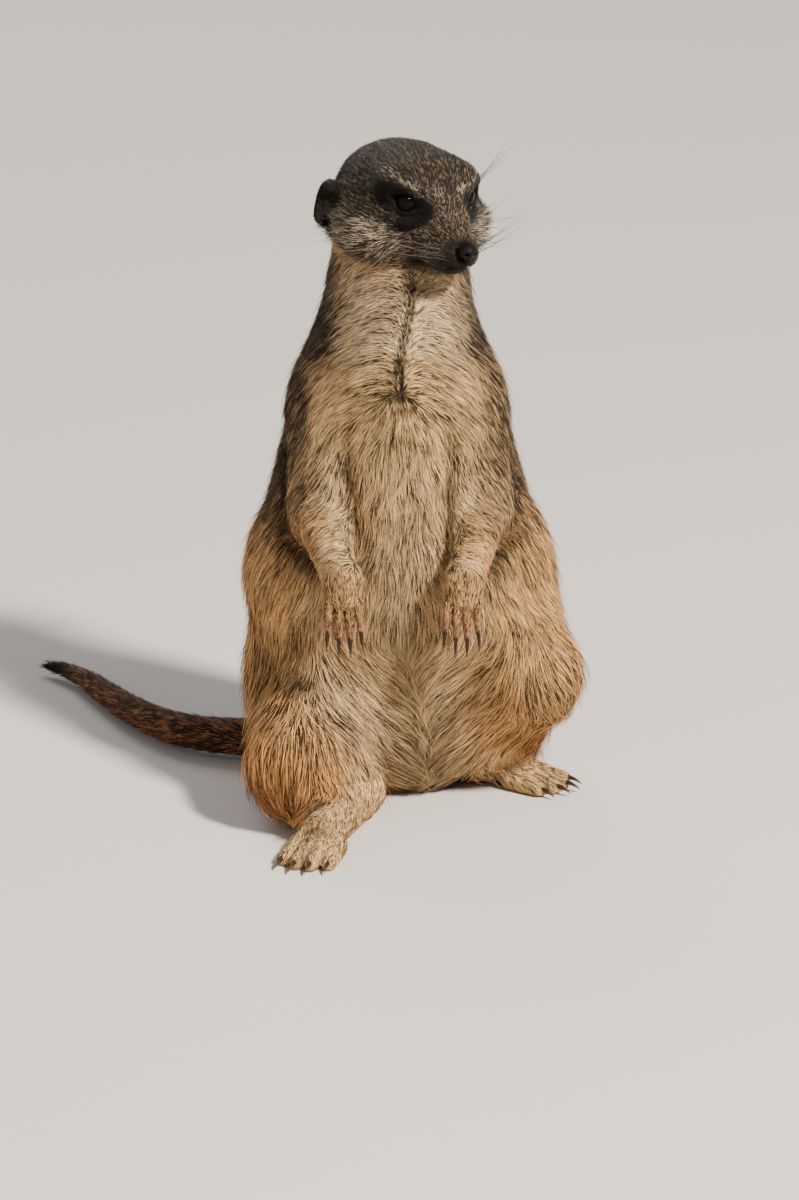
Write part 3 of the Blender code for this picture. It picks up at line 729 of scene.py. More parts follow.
def tones(points, regions, fingers):
    """The colour of the coat, and how grizzled it is, at each point."""
    weights = regions.weights(points)
    digits = finger_share(points, fingers)
    x, y, z = points.T
    across = x - MIDLINE
    noise = waves(points, 16, 41)
    part = {start: regions.share(weights, start) for start in COATS}
    arms = part["upper_arm"] + part["forearm"]
    trunk = part["chest"] + part["belly"]
    back = smooth(y, 12, 30)
    side = smooth(np.abs(across) + 0.3 * y + 3 * noise, 16, 33)
    tone = np.tile(SAND, (len(points), 1))
    speckle = np.full(len(points), 0.42)
    # trunk: sandy in front, grizzled shoulders and sides, dark bands across the back
    shoulder = smooth(z, 92, 125) * side
    tone = mixed(tone, SHOULDER, 0.85 * shoulder)
    tone = mixed(tone, BACK, 0.8 * back)
    speckle = mixed(speckle, 0.88, np.maximum(shoulder, back))
    ragged = 1.3 * noise + 0.5 * waves(points, 5, 43)
    bands = smooth(np.sin(z * 2 * math.pi / 17 + ragged), 0.1, 0.9) * back * fade(z, 160, 180)
    tone = mixed(tone, DARK, 0.7 * bands)
    groin = fade(z, 40, 80) * fade(np.abs(across), 26, 40) * (1 - back)
    streak = fade(np.abs(across + 2 * noise), 3, 15) * fade(z, 105, 140) * (1 - back)
    tone = mixed(tone, GREY, 0.45 * np.maximum(groin, streak))
    flank = fade(z, 95, 138) * smooth(np.abs(across) + 3 * noise, 29, 43) * (1 - 0.7 * back)
    tone = mixed(tone, GOLD, flank)
    for spot, size in SPOTS:
        away = np.hypot((x - spot[0]) / size[0], (z - spot[1]) / size[1])
        tone = mixed(tone, SPOT, 0.7 * fade(away, 0.5, 1.1) * fade(y, -20, -10))
    # limbs
    from_groin = np.abs(x - middle_line(z)) - 6 * (x > 0) + 2 * noise
    thigh = part["thigh"] * smooth(from_groin, 27, 41)
    # painted shade: the outer thighs are gold darkened by a tenth; towards the bottom they take the legs' own
    # orange-brown, deepened as painted shade under the knees
    tone = mixed(tone, GOLD * 0.9, thigh)
    tone = mixed(tone, LEG, 0.8 * thigh * fade(z + 3 * noise, 24, 60))
    speckle = mixed(speckle, 0.5, thigh)
    inner = smooth(25 - np.abs(across) + 2 * noise, -5, 7)
    outer = mixed(mixed(ORANGE, SAND, 0.3), mixed(SHOULDER, SAND, 0.5), smooth(z + 3 * noise, 104, 128))
    lower = fade(z + 3 * noise, 130, 152)
    tone = mixed(tone, mixed(outer, mixed(CREAM, SAND, 0.4), inner), arms * lower)
    speckle = mixed(speckle, mixed(0.35, 0.6, smooth(z, 104, 128)) * (1 - 0.5 * inner), arms * lower)
    outer = smooth(from_groin + 0.4 * (30 - z), 24, 40)
    tone = mixed(tone, mixed(mixed(SAND, CREAM, 0.3), mixed(GOLD, LEG, 0.5), outer), part["shank"])
    tone = mixed(tone, mixed(CREAM, GOLD, 0.6), part["foot"])
    speckle = mixed(speckle, 0.1, part["foot"])
    tone = mixed(tone, mixed(SAND, ORANGE, 0.5), part["hand"])
    tone = mixed(tone, PINK, digits)
    # painted shade: the coat is darkened in the creases of the throat, chest and groin and at the armpits,
    # where it parts
    armpit = smooth(4 * arms * trunk, 0.35, 1.0) * 0.65 * fade(z, *ARMPIT_HEIGHTS)
    parted = np.maximum(0.95 * crease_lines(points), armpit)
    tone = tone * (1 - parted * (1 - 0.9 * part["head"]))[:, None]
    # tail: red-brown, darker above, black at its tip
    tone = mixed(tone, mixed(RUFOUS, DARK, 0.5 * smooth(z, 12, 20)), part["tail"])
    tip = regions.share(weights, "tail_tip")
    tone = mixed(tone, BLACK, tip)
    # neck, head and ears
    throat = (1 - back) * fade(np.abs(across), 12, 27)
    # painted shade: the neck is darkened along its parting too
    tone = mixed(tone, mixed(NAPE, THROAT, throat) * (1 - 0.65 * parted[:, None]), part["neck"])
    speckle = mixed(speckle, 0.84 - 0.59 * throat, part["neck"])
    head, head_speckle = head_tone(in_head(points))
    tone = mixed(tone, head, part["head"] + part["ear"])
    speckle = mixed(speckle, head_speckle, part["head"] + part["ear"]) * (1 - tip)
    uneven = 1 + (0.10 * waves(points, 21, 44) + 0.07 * waves(points, 8, 45)) * (1 - part["head"])
    return np.clip(tone * uneven[:, None], 0, 1).astype(np.float32), speckle.astype(np.float32)


# ---- the lie of the coat


def node_ways(nodes):
    """The one way that the hair lies on each part of a limb, the tail and each ear."""
    middle = {name: points_of(obj).mean(axis=0) for name, obj in nodes.items()}
    ways = {
        "tail_root": middle["tail_middle"] - middle["tail_root"],
        "tail_middle": middle["tail_end"] - middle["tail_root"],
        "tail_end": middle["tail_tip"] - middle["tail_middle"],
        "tail_tip": middle["tail_tip"] - middle["tail_end"],
    }
    for side, sign in SIDES.items():
        ways[f"upper_arm_{side}"] = np.array((0.4 * sign, -0.1, -0.9))
        ways[f"forearm_{side}"] = np.array((0.75 * sign, -0.05, -0.65))
        ways[f"hand_{side}"] = middle[f"claw_hand_{side}_2"] - middle[f"forearm_{side}"]
        ways[f"foot_{side}"] = middle[f"claw_foot_{side}_2"] - middle[f"shank_{side}"]
        ways[f"shank_{side}"] = np.array((-0.25 * sign, -0.45, -0.9))
        ways[f"ear_{side}"] = out_of_head_way(np.array((0.8 * sign, 0.5, 0.6), np.float32))
    return {name: unit(way).astype(np.float32) for name, way in ways.items()}


def head_way(points):
    """Away from the nose over the face, then down the back of the head, in the head's axes."""
    way = unit(points - np.array((0, -44, -7), np.float32))
    down = smooth(points[:, 1], 6, 30)[:, None]
    return unit(way + down * np.array((0, 0.2, -1.2), np.float32))


def crease_height(away):
    """Height of the crease that runs from the throat's whorl to each armpit, by distance from the middle."""
    return WHORL_HEIGHT - 0.35 * away - 0.011 * away**2


def crease_lines(points):
    """How far the coat parts at the throat, towards the armpits and at the groin, from 0 to 1."""
    x, y, z = points.T
    middle = np.abs(x - middle_line(z))
    throat = smooth(z, WHORL_HEIGHT - 2, WHORL_HEIGHT + 2) * fade(z, CHIN_HEIGHT - 10, CHIN_HEIGHT)
    parting = throat * fade(middle, 0.3, 1.6)
    away = np.abs(x - MIDLINE)
    armpit = fade(np.abs(z - crease_height(away)), 0.4, 2.8) * fade(away, 26, 32)
    armpit = armpit * 0.5 * smooth(away, 14, 22)
    groin = 0.6 * fade(middle, 0.4, 3.0) * fade(z, NAVEL_HEIGHT - 6, NAVEL_HEIGHT + 2)
    return fade(y, -6, 6) * np.maximum(np.maximum(parting, armpit), groin)


def parting_share(points):
    """1 at the throat's parting and the whorl below it, falling to 0 about 12 mm away."""
    x, y, z = points.T
    past_end = np.maximum(WHORL_HEIGHT - z, 0) + np.maximum(z - 205, 0)
    near = fade(np.hypot(x - middle_line(np.maximum(z, WHORL_HEIGHT)), past_end), 1, 12)
    return near * fade(y, -6, 6)


def middle_line(height):
    """Where the coat parts, by height: it turns with the head at the throat and aside at the groin."""
    throat = 5 * smooth(height, WHORL_HEIGHT + 4, CHIN_HEIGHT)
    return MIDLINE + 10 * smooth(NAVEL_HEIGHT - height, -14, 30) + throat


def trunk_way(points):
    """Out from the throat's parting, down the chest from the crease between the arms, in to the groin."""
    x, y, z = points.T
    middle = middle_line(z) + 0.8 * waves(points, 25, 51)
    across = x - middle + 0.8 * waves(points, 1.6, 54)
    side = np.where(across < 0, -1.0, 1.0)
    away = np.abs(across)
    crease = crease_height(away) + 0.8 * waves(points, 9, 52)
    rise = 1.1 * fade(away, 0, 11) - 0.035 * away
    out = np.stack([side * (0.45 + 0.55 * smooth(away, 0, 5)), 0 * x, rise], axis=1)
    below = np.maximum(WHORL_HEIGHT - z, 0)
    fan = across * (0.009 + fade(below, 4, 36) / (below + 8))
    down = np.stack([fan, 0 * x, -np.ones_like(x)], axis=1)
    turned = 0.95 * smooth(away, -2, 9) * fade(away, 18, 44)
    inward = np.stack([-side * turned, 0 * x, -0.75 * np.ones_like(x)], axis=1)
    groin = smooth(NAVEL_HEIGHT + 0.15 * away + 1.5 * waves(points, 12, 53) - z, -5, 5)
    above = smooth(z - crease, -1 - 0.2 * away, 1 + 0.2 * away)
    front = mixed(mixed(unit(down), unit(inward), groin), unit(out), above)
    behind = np.stack([0.1 * side, 0 * x, -np.ones_like(x)], axis=1)
    share = smooth(y, -4, 14)[:, None]
    return unit(front * (1 - share) + behind * share)


def thigh_way(points, sign):
    """Down the thigh: outward on its outside, and in towards the groin on its inside."""
    x, _, z = points.T
    if sign > 0:
        across = mixed(-0.4, np.clip((x - 44) / 14, -0.7, 0.9), smooth(z, 15, 45))
        return unit(np.stack([across, -0.3 + 0 * x, -np.ones_like(x)], axis=1))
    return unit(np.stack([0.5 * np.clip((x + 40) / 12, -0.2, 1.8), -0.75 + 0 * x, -0.8 + 0 * x], axis=1))


class Lie:
    """The way that the hair lies at any point."""

    def __init__(self, nodes, regions):
        """Keeps the ways of all parts but the trunk on a lattice, and the trunk's share for at()."""
        ways = node_ways(nodes)
        points = regions.grid.points()
        weights = regions.grid.values
        total = np.zeros((len(points), 4), np.float32)
        for i, name in enumerate(regions.names):
            share = weights[:, i : i + 1]
            if name == "head":
                total[:, :3] += share * out_of_head_way(head_way(in_head(points)))
            elif name.startswith("thigh"):
                total[:, :3] += share * thigh_way(points, SIDES[name.split("_")[1]])
            elif name in ways:
                total[:, :3] += share * ways[name]
            else:
                total[:, 3:4] += share
        self.grid = Grid(regions.grid.low, REGION_STEP, total.reshape(regions.grid.shape + (4,)))

    def at(self, points):
        found = self.grid.at(points)
        way = found[:, :3] + found[:, 3:4] * trunk_way(points)
        sway = three_waves(points, 13, 61, 4)
        ripple = three_waves(points, 5, 71, 4)
        return (way + SWAY * sway + RIPPLE * ripple).astype(np.float32)


# ---- the coat


Body = namedtuple("Body", "regions fingers field lie")


class Roots:
    """Where the locks grow: places on the skin and in its unwrap, and the traits of the coat there."""

    def __init__(self, skin, regions, fingers, random):
        points = points_of(skin)
        faces = triangles_of(skin).astype(np.int64)
        corners = read(skin.data.loop_triangles, "loops", 3, np.int32)
        unwrapped = read(skin.data.uv_layers["OFBake"].data, "uv", 2, np.float32)[corners]
        a, b, c = (points[faces[:, k]] for k in range(3))
        area = lengths(np.cross(b - a, c - a)) / 2
        middle = (a + b + c) / 3
        weights = regions.weights(middle)
        head = regions.share(weights, "head")
        coats = np.array([coat_of(name)[:6] for name in regions.names], np.float32)
        traits = head_traits(weights @ coats, middle, head)
        parting = parting_share(middle)
        traits[:, LENGTH] *= 1 - PARTING_SHORTER * parting
        traits[:, DENSITY] *= 1 + PARTING_DENSER * parting
        density = traits[:, DENSITY] * bare(middle) * (1 - FINGER_SPARSER * finger_share(middle, fingers))
        expected = area * density
        count = int(expected.sum())
        chance = np.cumsum(expected) / expected.sum()
        pick = np.searchsorted(chance, (np.arange(count) + random.random(count)) / count)
        pick = np.minimum(pick, len(faces) - 1)
        share = random.dirichlet((1, 1, 1), count).astype(np.float32)
        self.points = sum(share[:, k : k + 1] * points[faces[pick, k]] for k in range(3)).astype(np.float32)
        self.unwrap = sum(share[:, k : k + 1] * unwrapped[pick, k] for k in range(3))
        self.owner = weights.argmax(axis=1)[pick]
        self.traits = traits[pick]
        self.head = head[pick]


def head_traits(traits, points, head):
    """Shorter and finer hair on the muzzle and round the eyes, longer on the cheeks."""
    muzzle, cheek, eye = head_parts(in_head(points))
    depth = head_depth(in_head(points))
    length = mixed(mixed(2.9 + 2.6 * cheek, 1.9, muzzle), 1.7, eye)
    width = mixed(0.2 + 0.04 * cheek, 0.17, np.maximum(muzzle, eye))
    density = mixed(9.5 - 1.5 * cheek, 13.0, np.maximum(muzzle, eye))
    for column, values in enumerate((depth, length, width, density)):
        traits[:, column] = mixed(traits[:, column], values, head)
    return traits


def finger_share(points, fingers):
    """1 past the knuckle of a finger and 0 elsewhere."""
    near = [capsule(points, start + 0.45 * (end - start), end, 0) for start, end in fingers]
    return fade(np.min(near, axis=0), 1.8, 4.0)


def bare(points):
    """1 where hair grows, 0 at the eyes, under the nose's leather and in the mouth's line."""
    places = in_head(points)
    grows = np.ones(len(points))
    for sign in SIDES.values():
        gap, ahead = lid_gap(places, sign)
        close = lengths(places - eye_middle(sign)) < EYE_RADIUS + 3
        grows *= np.where(close & (ahead > 0), smooth(gap, 1.12, 1.3), 1)
    nose = lengths(places - np.array(NOSE_MIDDLE))
    return grows * smooth(nose, 3.8, 4.7) * smooth(mouth_distance(places), 0.8, 1.3)


def grow(roots, chosen, bends, body, random):
    """Each lock's middle line, its ways and the skin's normals along it, its width and a random number."""
    point = roots.points[chosen].copy()
    depth, length, width, _, _, clump = roots.traits[chosen].T
    count = len(point)
    _, cheek, _ = head_parts(in_head(point))
    at_head = roots.head[chosen]
    depth = depth * random.uniform(*DEPTHS, count).astype(np.float32) * (1 + cheek * at_head)
    length = length * random.uniform(*LENGTHS, count).astype(np.float32)
    stray = random.random(count) < np.where(length > LONG_LOCK, STRAYS[1], STRAYS[0])
    depth[stray] *= STRAY_DEPTH
    length[stray] *= STRAY_LENGTH
    _, up = body.field.slope(point)
    middle, lot = clumps(point, clump, 5)
    bias = three_waves(middle, 0.9, 81, 3)
    turn = CLUMP_TURN * bias + LOCK_TURN * random.normal(size=(count, 3)).astype(np.float32)
    lines, ups, ways = [point], [up], []
    for k in range(1, bends + 1):
        way = body.lie.at(point) + turn
        way = unit(way - up * dot(way, up))
        ways.append(way)
        point = point + way * (length / bends)[:, None]
        height, up = body.field.slope(point)
        point = point + up * (depth * (k / bends) ** LIFT_CURVE - height)[:, None]
        lines.append(point)
        ups.append(up)
    ways.append(way)
    aside = lines[0] - middle
    edge = np.clip(lengths(aside) / (CLUMP_EDGE * clump), 0, 1)
    aside = CLUMP_PULL * (aside - ways[0] * dot(aside, ways[0]))
    off_strand, strand_lot = strands(lines[0], body.lie, clump, mixed(STRAND_STRETCH, HEAD_STRETCH, at_head))
    aside += (STRAND_PULL - HEAD_LOOSER * at_head)[:, None] * off_strand
    aside -= ups[0] * dot(aside, ups[0])
    # painted shade: locks at the edge of their clump are darker, as if in the gaps between clumps
    lot = LOT_SHARES[0] * lot + LOT_SHARES[1] * (1 - edge**2) + LOT_SHARES[2] * strand_lot
    for k in range(1, bends + 1):
        lines[k] = lines[k] - (k / bends) ** PULL_CURVE * aside
        lines[k][:, 2] = np.maximum(lines[k][:, 2], LOWEST_LOCK)
    return lines, ways, ups, width, lot


def ribbons(name, roots, chosen, bends, body, random):
    """One mesh of thin ribbons, one from each chosen root."""
    lines, ways, ups, width, lot = grow(roots, chosen, bends, body, random)
    count = len(chosen)
    per = 2 * bends + 1
    roll = random.uniform(-LOCK_ROLL, LOCK_ROLL, count)[:, None]
    width = width * random.uniform(*WIDTHS, count)
    points = np.empty((count, per, 3), np.float32)
    normals = np.empty((count, per, 3), np.float32)
    along = np.empty(per, np.float32)
    patch = np.empty((per, 2), np.float32)
    for k in range(bends + 1):
        share = k / bends
        flat = unit(np.cross(ways[k], ups[k]))
        face = unit(np.cross(flat, ways[k]))
        across = flat * np.cos(roll) + face * np.sin(roll)
        facing = unit(np.cross(across, ways[k]))
        shade = unit(LOCK_SHADE[0] * ups[k] + LOCK_SHADE[1] * facing + LOCK_SHADE[2] * ways[k])
        half = (width * (1 - LOCK_TAPER * share) / 2)[:, None] * across
        for i, sign in enumerate((-1, 1) if k < bends else (0,)):
            points[:, 2 * k + i] = lines[k] + sign * half
            normals[:, 2 * k + i] = shade
            along[2 * k + i] = share
            patch[2 * k + i] = (sign * PATCH / 2, (share - 0.5) * PATCH)
    faces = []
    for a in range(0, per - 3, 2):
        faces += [(a, a + 1, a + 3), (a, a + 3, a + 2)]
    faces.append((per - 3, per - 2, per - 1))
    faces = (np.array(faces)[None] + per * np.arange(count)[:, None, None]).reshape(-1, 3)
    coat = make_mesh(name, points.reshape(-1, 3), faces)
    mesh = coat.data
    unwrapped = (roots.unwrap[chosen][:, None] + patch[None]).reshape(-1, 2)
    layer = mesh.uv_layers.new(name="OFBake")
    layer.data.foreach_set("uv", unwrapped[faces.ravel()].astype(np.float32).ravel())
    tone, speckle = tones(roots.points[chosen], body.regions, body.fingers)
    own = random.random(count).astype(np.float32)
    add_values(mesh, "along", np.tile(along, count))
    for kind, values in (("tone", tone), ("grizzle", speckle), ("own", own), ("lot", lot)):
        add_values(mesh, kind, np.repeat(values, per, axis=0))
    mesh.normals_split_custom_set_from_vertices(normals.reshape(-1, 3))
    return coat


def add_values(mesh, name, values):
    """Keeps a number or a colour at each point of a mesh, for its material."""
    kind, key = "FLOAT", "value"
    if values.ndim == 2:
        kind, key = "FLOAT_COLOR", "color"
        values = np.concatenate([values, np.ones((len(values), 1))], axis=1)
    layer = mesh.attributes.new(name, kind, "POINT")
    layer.data.foreach_set(key, np.ascontiguousarray(values, np.float32).ravel())


# ---- materials


class Paint:
    """A material's node tree, with short ways to add to it."""

    def __init__(self, name):
        self.material = bpy.data.materials.new(name)
        self.material.use_nodes = True
        self.tree = self.material.node_tree
        self.shader = self.tree.nodes["Principled BSDF"]

    def add(self, kind, **settings):
        node = self.tree.nodes.new(kind)
        for key, value in settings.items():
            setattr(node, key, value)
        return node

    def join(self, source, target):
        self.tree.links.new(source, target)

    def place(self):
        return self.add("ShaderNodeTexCoord").outputs["Object"]

    def attribute(self, name, socket="Fac"):
        return self.add("ShaderNodeAttribute", attribute_name=name).outputs[socket]

    def calculate(self, operation, a, b):
        node = self.add("ShaderNodeMath", operation=operation)
        for socket, value in zip(node.inputs, (a, b)):
            if isinstance(value, (int, float)):
                socket.default_value = value
            else:
                self.join(value, socket)
        return node.outputs[0]

    def ramp(self, source, stops):
        node = self.add("ShaderNodeValToRGB")
        node.color_ramp.elements.remove(node.color_ramp.elements[1])
        for i, (place, value) in enumerate(stops):
            spot = node.color_ramp.elements[0] if i == 0 else node.color_ramp.elements.new(place)
            spot.position = place
            spot.color = (*((value,) * 3 if isinstance(value, (int, float)) else value), 1)
        self.join(source, node.inputs[0])
        return node.outputs[0]

    def mix(self, share, a, b, kind="MIX"):
        node = self.add("ShaderNodeMix", data_type="RGBA", blend_type=kind)
        for index, value in ((0, share), (6, a), (7, b)):
            if isinstance(value, (int, float)):
                node.inputs[index].default_value = value
            elif isinstance(value, (tuple, np.ndarray)):
                node.inputs[index].default_value = (*value, 1)
            else:
                self.join(value, node.inputs[index])
        return node.outputs[2]

    def multiply(self, a, b, share=1.0):
        return self.mix(share, a, b, "MULTIPLY")

    def noise(self, scale, detail):
        node = self.add("ShaderNodeTexNoise")
        node.inputs["Scale"].default_value = scale
        node.inputs["Detail"].default_value = detail
        self.join(self.place(), node.inputs["Vector"])
        return node.outputs["Fac"]

    def bump(self, height, strength, distance):
        node = self.add("ShaderNodeBump")
        node.inputs["Strength"].default_value = strength
        node.inputs["Distance"].default_value = distance
        self.join(height, node.inputs["Height"])
        self.join(node.outputs["Normal"], self.shader.inputs["Normal"])

    def finish(self, colour, **values):
        """The material, with its colour joined or set and the shader's other values set."""
        for key, value in values.items():
            self.shader.inputs[key.replace("_", " ")].default_value = value
        if isinstance(colour, tuple):
            self.shader.inputs["Base Color"].default_value = colour
        else:
            self.join(colour, self.shader.inputs["Base Color"])
        return self.material


def coat_paint():
    """Hair: the markings' tone, darker at the root as painted shade deep in the coat, banded where the coat
    is grizzled.
    """
    paint = Paint("coat")
    tone = paint.attribute("tone", "Color")
    along, own, lot, grizzle = (paint.attribute(name) for name in ("along", "own", "lot", "grizzle"))
    # painted shade: each lock darkens towards its root, and its tip is lighter
    root = paint.ramp(along, [(0, 0.08), (0.3, 0.33), (0.7, 0.95), (1, 1.3)])
    plain = paint.multiply(tone, root)
    spread = paint.calculate("ADD", *(paint.calculate("MULTIPLY", value, 0.5) for value in (own, lot)))
    shade = paint.ramp(spread, [(0.2, 0.12), (0.5, 0.76), (0.8, 1.9)])
    plain = paint.multiply(plain, shade)
    shifted = paint.calculate("ADD", along, paint.calculate("MULTIPLY", lot, 0.3))
    tip = paint.ramp(shifted, [(0.58, 0.0), (0.78, 1.0)])
    banded = paint.mix(tip, DARK * 0.7, paint.multiply(tone, (1.45,) * 3))
    darkness = paint.ramp(grizzle, [(0, 0.14), (0.4, 0.33), (0.7, 0.52), (1, 0.67)])
    dark_lock = paint.calculate("LESS_THAN", spread, darkness)
    colour = paint.mix(grizzle, plain, banded)
    colour = paint.mix(paint.calculate("MULTIPLY", dark_lock, 0.9), colour, BLACK)
    sheen = {"Sheen_Weight": 0.04, "Sheen_Roughness": 0.4}
    return paint.finish(colour, Roughness=0.68, Specular_IOR_Level=0.12, **sheen)


def skin_paint():
    """The skin under the coat, in the coat's tone but much darker as painted shade deep in the coat, with
    short hair as bump.
    """
    paint = Paint("skin")
    tone = paint.attribute("tone", "Color")
    fine = paint.noise(1800, 4)
    # painted shade: where the coat covers it, the skin is darkened to a fifth of its tone or less
    covered = paint.multiply(tone, paint.ramp(fine, [(0.3, 0.06), (0.7, 0.2)]))
    naked = paint.multiply(tone, paint.ramp(fine, [(0.3, 0.5), (0.7, 1.1)]))
    colour = paint.mix(paint.attribute("bare"), covered, naked)
    paint.bump(fine, 0.5, 0.0004)
    return paint.finish(colour, Roughness=0.7, Specular_IOR_Level=0.1)


def eye_radius(paint, wide, high):
    """Distance from the eyeball's own Z axis over its radius, with its X and Y scaled."""
    scaled = paint.add("ShaderNodeVectorMath", operation="MULTIPLY")
    scaled.inputs[1].default_value = (wide / MM, high / MM, 0)
    paint.join(paint.place(), scaled.inputs[0])
    length = paint.add("ShaderNodeVectorMath", operation="LENGTH")
    paint.join(scaled.outputs[0], length.inputs[0])
    return paint.calculate("DIVIDE", length.outputs["Value"], EYE_RADIUS)


def eye_paint():
    """A dark brown iris round a pupil that is wider than it is high, under a clear wet surface."""
    paint = Paint("eyeball")
    iris = paint.mix(paint.noise(2600, 2), srgb(9, 6, 4), srgb(19, 12, 8))
    edge = paint.ramp(eye_radius(paint, 1, 1), [(0.66, 0.0), (0.74, 1.0)])
    colour = paint.mix(edge, iris, srgb(8, 6, 5))
    hole = paint.ramp(eye_radius(paint, 0.75, 1.3), [(0.26, 1.0), (0.31, 0.0)])
    colour = paint.mix(hole, colour, (0.004, 0.004, 0.004))
    return paint.finish(colour, Roughness=0.06, Specular_IOR_Level=0.04)


def nose_paint():
    """Damp dark leather with fine pebbles."""
    paint = Paint("nose_leather")
    cells = paint.add("ShaderNodeTexVoronoi", feature="DISTANCE_TO_EDGE")
    cells.inputs["Scale"].default_value = 2200
    paint.join(paint.place(), cells.inputs["Vector"])
    pebbles = paint.ramp(cells.outputs["Distance"], [(0.0, 0.0), (0.12, 1.0)])
    paint.bump(pebbles, 0.5, 0.0001)
    # painted shade: darker in the grooves between the pebbles
    colour = paint.mix(pebbles, srgb(6, 5, 5), srgb(20, 16, 14))
    return paint.finish(colour, Roughness=0.42, Specular_IOR_Level=0.08)


def claw_paint():
    """Dark horn, paler towards the tip, with fine lines along it."""
    paint = Paint("claw_horn")
    along = paint.attribute("along")
    grain = paint.noise(900, 4)
    colour = paint.ramp(along, [(0, srgb(38, 28, 20)), (0.6, srgb(52, 40, 30)), (1, srgb(98, 78, 58))])
    colour = paint.multiply(colour, paint.ramp(grain, [(0.3, 0.55), (0.7, 1.2)]), 0.6)
    paint.bump(grain, 0.3, 0.0001)
    return paint.finish(colour, Roughness=0.48, Specular_IOR_Level=0.1)


def whisker_paint():
    """Dark hair, paler towards its tip."""
    paint = Paint("whisker")
    along = paint.attribute("along")
    colour = paint.ramp(along, [(0, srgb(30, 24, 20)), (0.5, srgb(62, 50, 40)), (1, srgb(120, 100, 80))])
    return paint.finish(colour, Roughness=0.4)


# ---- eyes, nose, claws and whiskers


def finished(obj, material, slot, *replaced):
    """Gives a piece its material, fixes it to the root body and hides the solids that it replaces."""
    obj.data.materials.append(material)
    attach(obj, "root")
    if replaced:
        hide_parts(*replaced)


def add_eyes():
    """Eyeballs whose own Z looks out between the lids, with a slight bulge for the cornea."""
    material = eye_paint()
    for side, sign in SIDES.items():
        out, corner, _ = (Vector(v) for v in eye_axes(sign))
        axes = Matrix((corner, out.cross(corner), out)).transposed().to_4x4()
        place = head_frame() @ Matrix.Translation(eye_middle(sign)) @ axes
        bpy.ops.mesh.primitive_uv_sphere_add(segments=64, ring_count=40, radius=EYE_RADIUS * MM)
        ball = bpy.context.object
        ball.name = ball.data.name = f"eyeball_{side}"
        for vertex in ball.data.vertices:
            height = vertex.co.z / (EYE_RADIUS * MM)
            vertex.co *= 1 + CORNEA * float(smooth(height, 0.70, 1.0))
        ball.data.shade_smooth()
        ball.location = place.translation * MM
        ball.rotation_euler = place.to_euler()
        finished(ball, material, "eye", f"eye_{side}")


def ellipsoid(points, middle, radii):
    """A distance that is right near the surface."""
    scaled = (points - np.array(middle)) / np.array(radii)
    first = lengths(scaled)
    return first * (first - 1) / np.maximum(lengths(scaled / np.array(radii)), 1e-6)


NOSE_CUTS = (  # start, end and radius of each nostril, its slit, and the groove below
    ((1.6, -45.8, -5.4), (2.0, -42.6, -5.0), 0.75),
    ((2.0, -44.5, -5.7), (4.8, -42.0, -5.9), 0.35),
    ((0, -45.6, -4.9), (0, -44.0, -9.2), 0.25),
)


def nose_distance(points):
    """The nose's leather in the head's axes: a pad with two wings, two nostrils with slits, and a groove."""
    points = mirrored(points).astype(float)
    shape = ellipsoid(points, (0, -41.2, -4.6), (3.2, 3.6, 2.7))
    shape = soft_least(shape, ellipsoid(points, (2.1, -41.0, -5.4), (1.75, 2.8, 2.0)), 1.2)
    shape = soft_least(shape, ellipsoid(points, (0, -41.6, -6.9), (1.3, 2.3, 2.3)), 1.2)
    for cut in NOSE_CUTS:
        shape = -soft_least(-shape, capsule(points, *cut), 0.5)
    return shape


def add_nose():
    """The nose's leather as a mesh, from its distances on a fine lattice."""
    step, half = 0.22, 7.5
    count = int(2 * half / step)
    low = np.array(NOSE_MIDDLE) - half
    values = Grid(low, step, np.empty((count,) * 3, np.float32))
    values.values = nose_distance(values.points()).astype(np.float32)
    level = openvdb.FloatGrid(half)
    level.copyFromArray(values.cube())
    points, _, quads = level.convertToPolygons(isovalue=0.0, adaptivity=0.0)
    nose = make_mesh("nose_pad", out_of_head(points * step + low), quads[:, ::-1])
    finished(nose, nose_paint(), "nose", "nose")


def tube(line, radii, sides, flat=1.0):
    """Points, faces and shares along of a tapered tube with a closed start and a pointed end."""
    line = np.asarray(line, np.float32)
    ahead = unit(np.gradient(line, axis=0))
    first = unit(np.cross(ahead[0], (0.3, 0.9, 0.2)))
    points, along = [], []
    for k in range(len(line) - 1):
        first = unit(first - ahead[k] * (first @ ahead[k]))
        second = np.cross(ahead[k], first)
        for j in range(sides):
            angle = 2 * math.pi * j / sides
            points.append(line[k] + radii[k] * (flat * math.cos(angle) * first + math.sin(angle) * second))
            along.append(k / (len(line) - 1))
    points += [line[-1], line[0] - ahead[0] * radii[0] * 0.5]
    along += [1, 0]
    faces = []
    tip, start = len(points) - 2, len(points) - 1
    for k in range(len(line) - 2):
        for j in range(sides):
            a, b = k * sides + j, k * sides + (j + 1) % sides
            faces += [(a, b, b + sides), (a, b + sides, a + sides)]
    last = (len(line) - 2) * sides
    for j in range(sides):
        faces.append((last + j, last + (j + 1) % sides, tip))
        faces.append(((j + 1) % sides, j, start))
    return np.array(points), np.array(faces), np.array(along)


def joined(name, tubes):
    """One object from some tubes, with their shares along as a value for the material."""
    counts = np.cumsum([0] + [len(points) for points, _, _ in tubes])
    points = np.concatenate([points for points, _, _ in tubes])
    faces = np.concatenate([faces + n for (_, faces, _), n in zip(tubes, counts)])
    made = make_mesh(name, points, faces)
    add_values(made.data, "along", np.concatenate([along for _, _, along in tubes]))
    return made


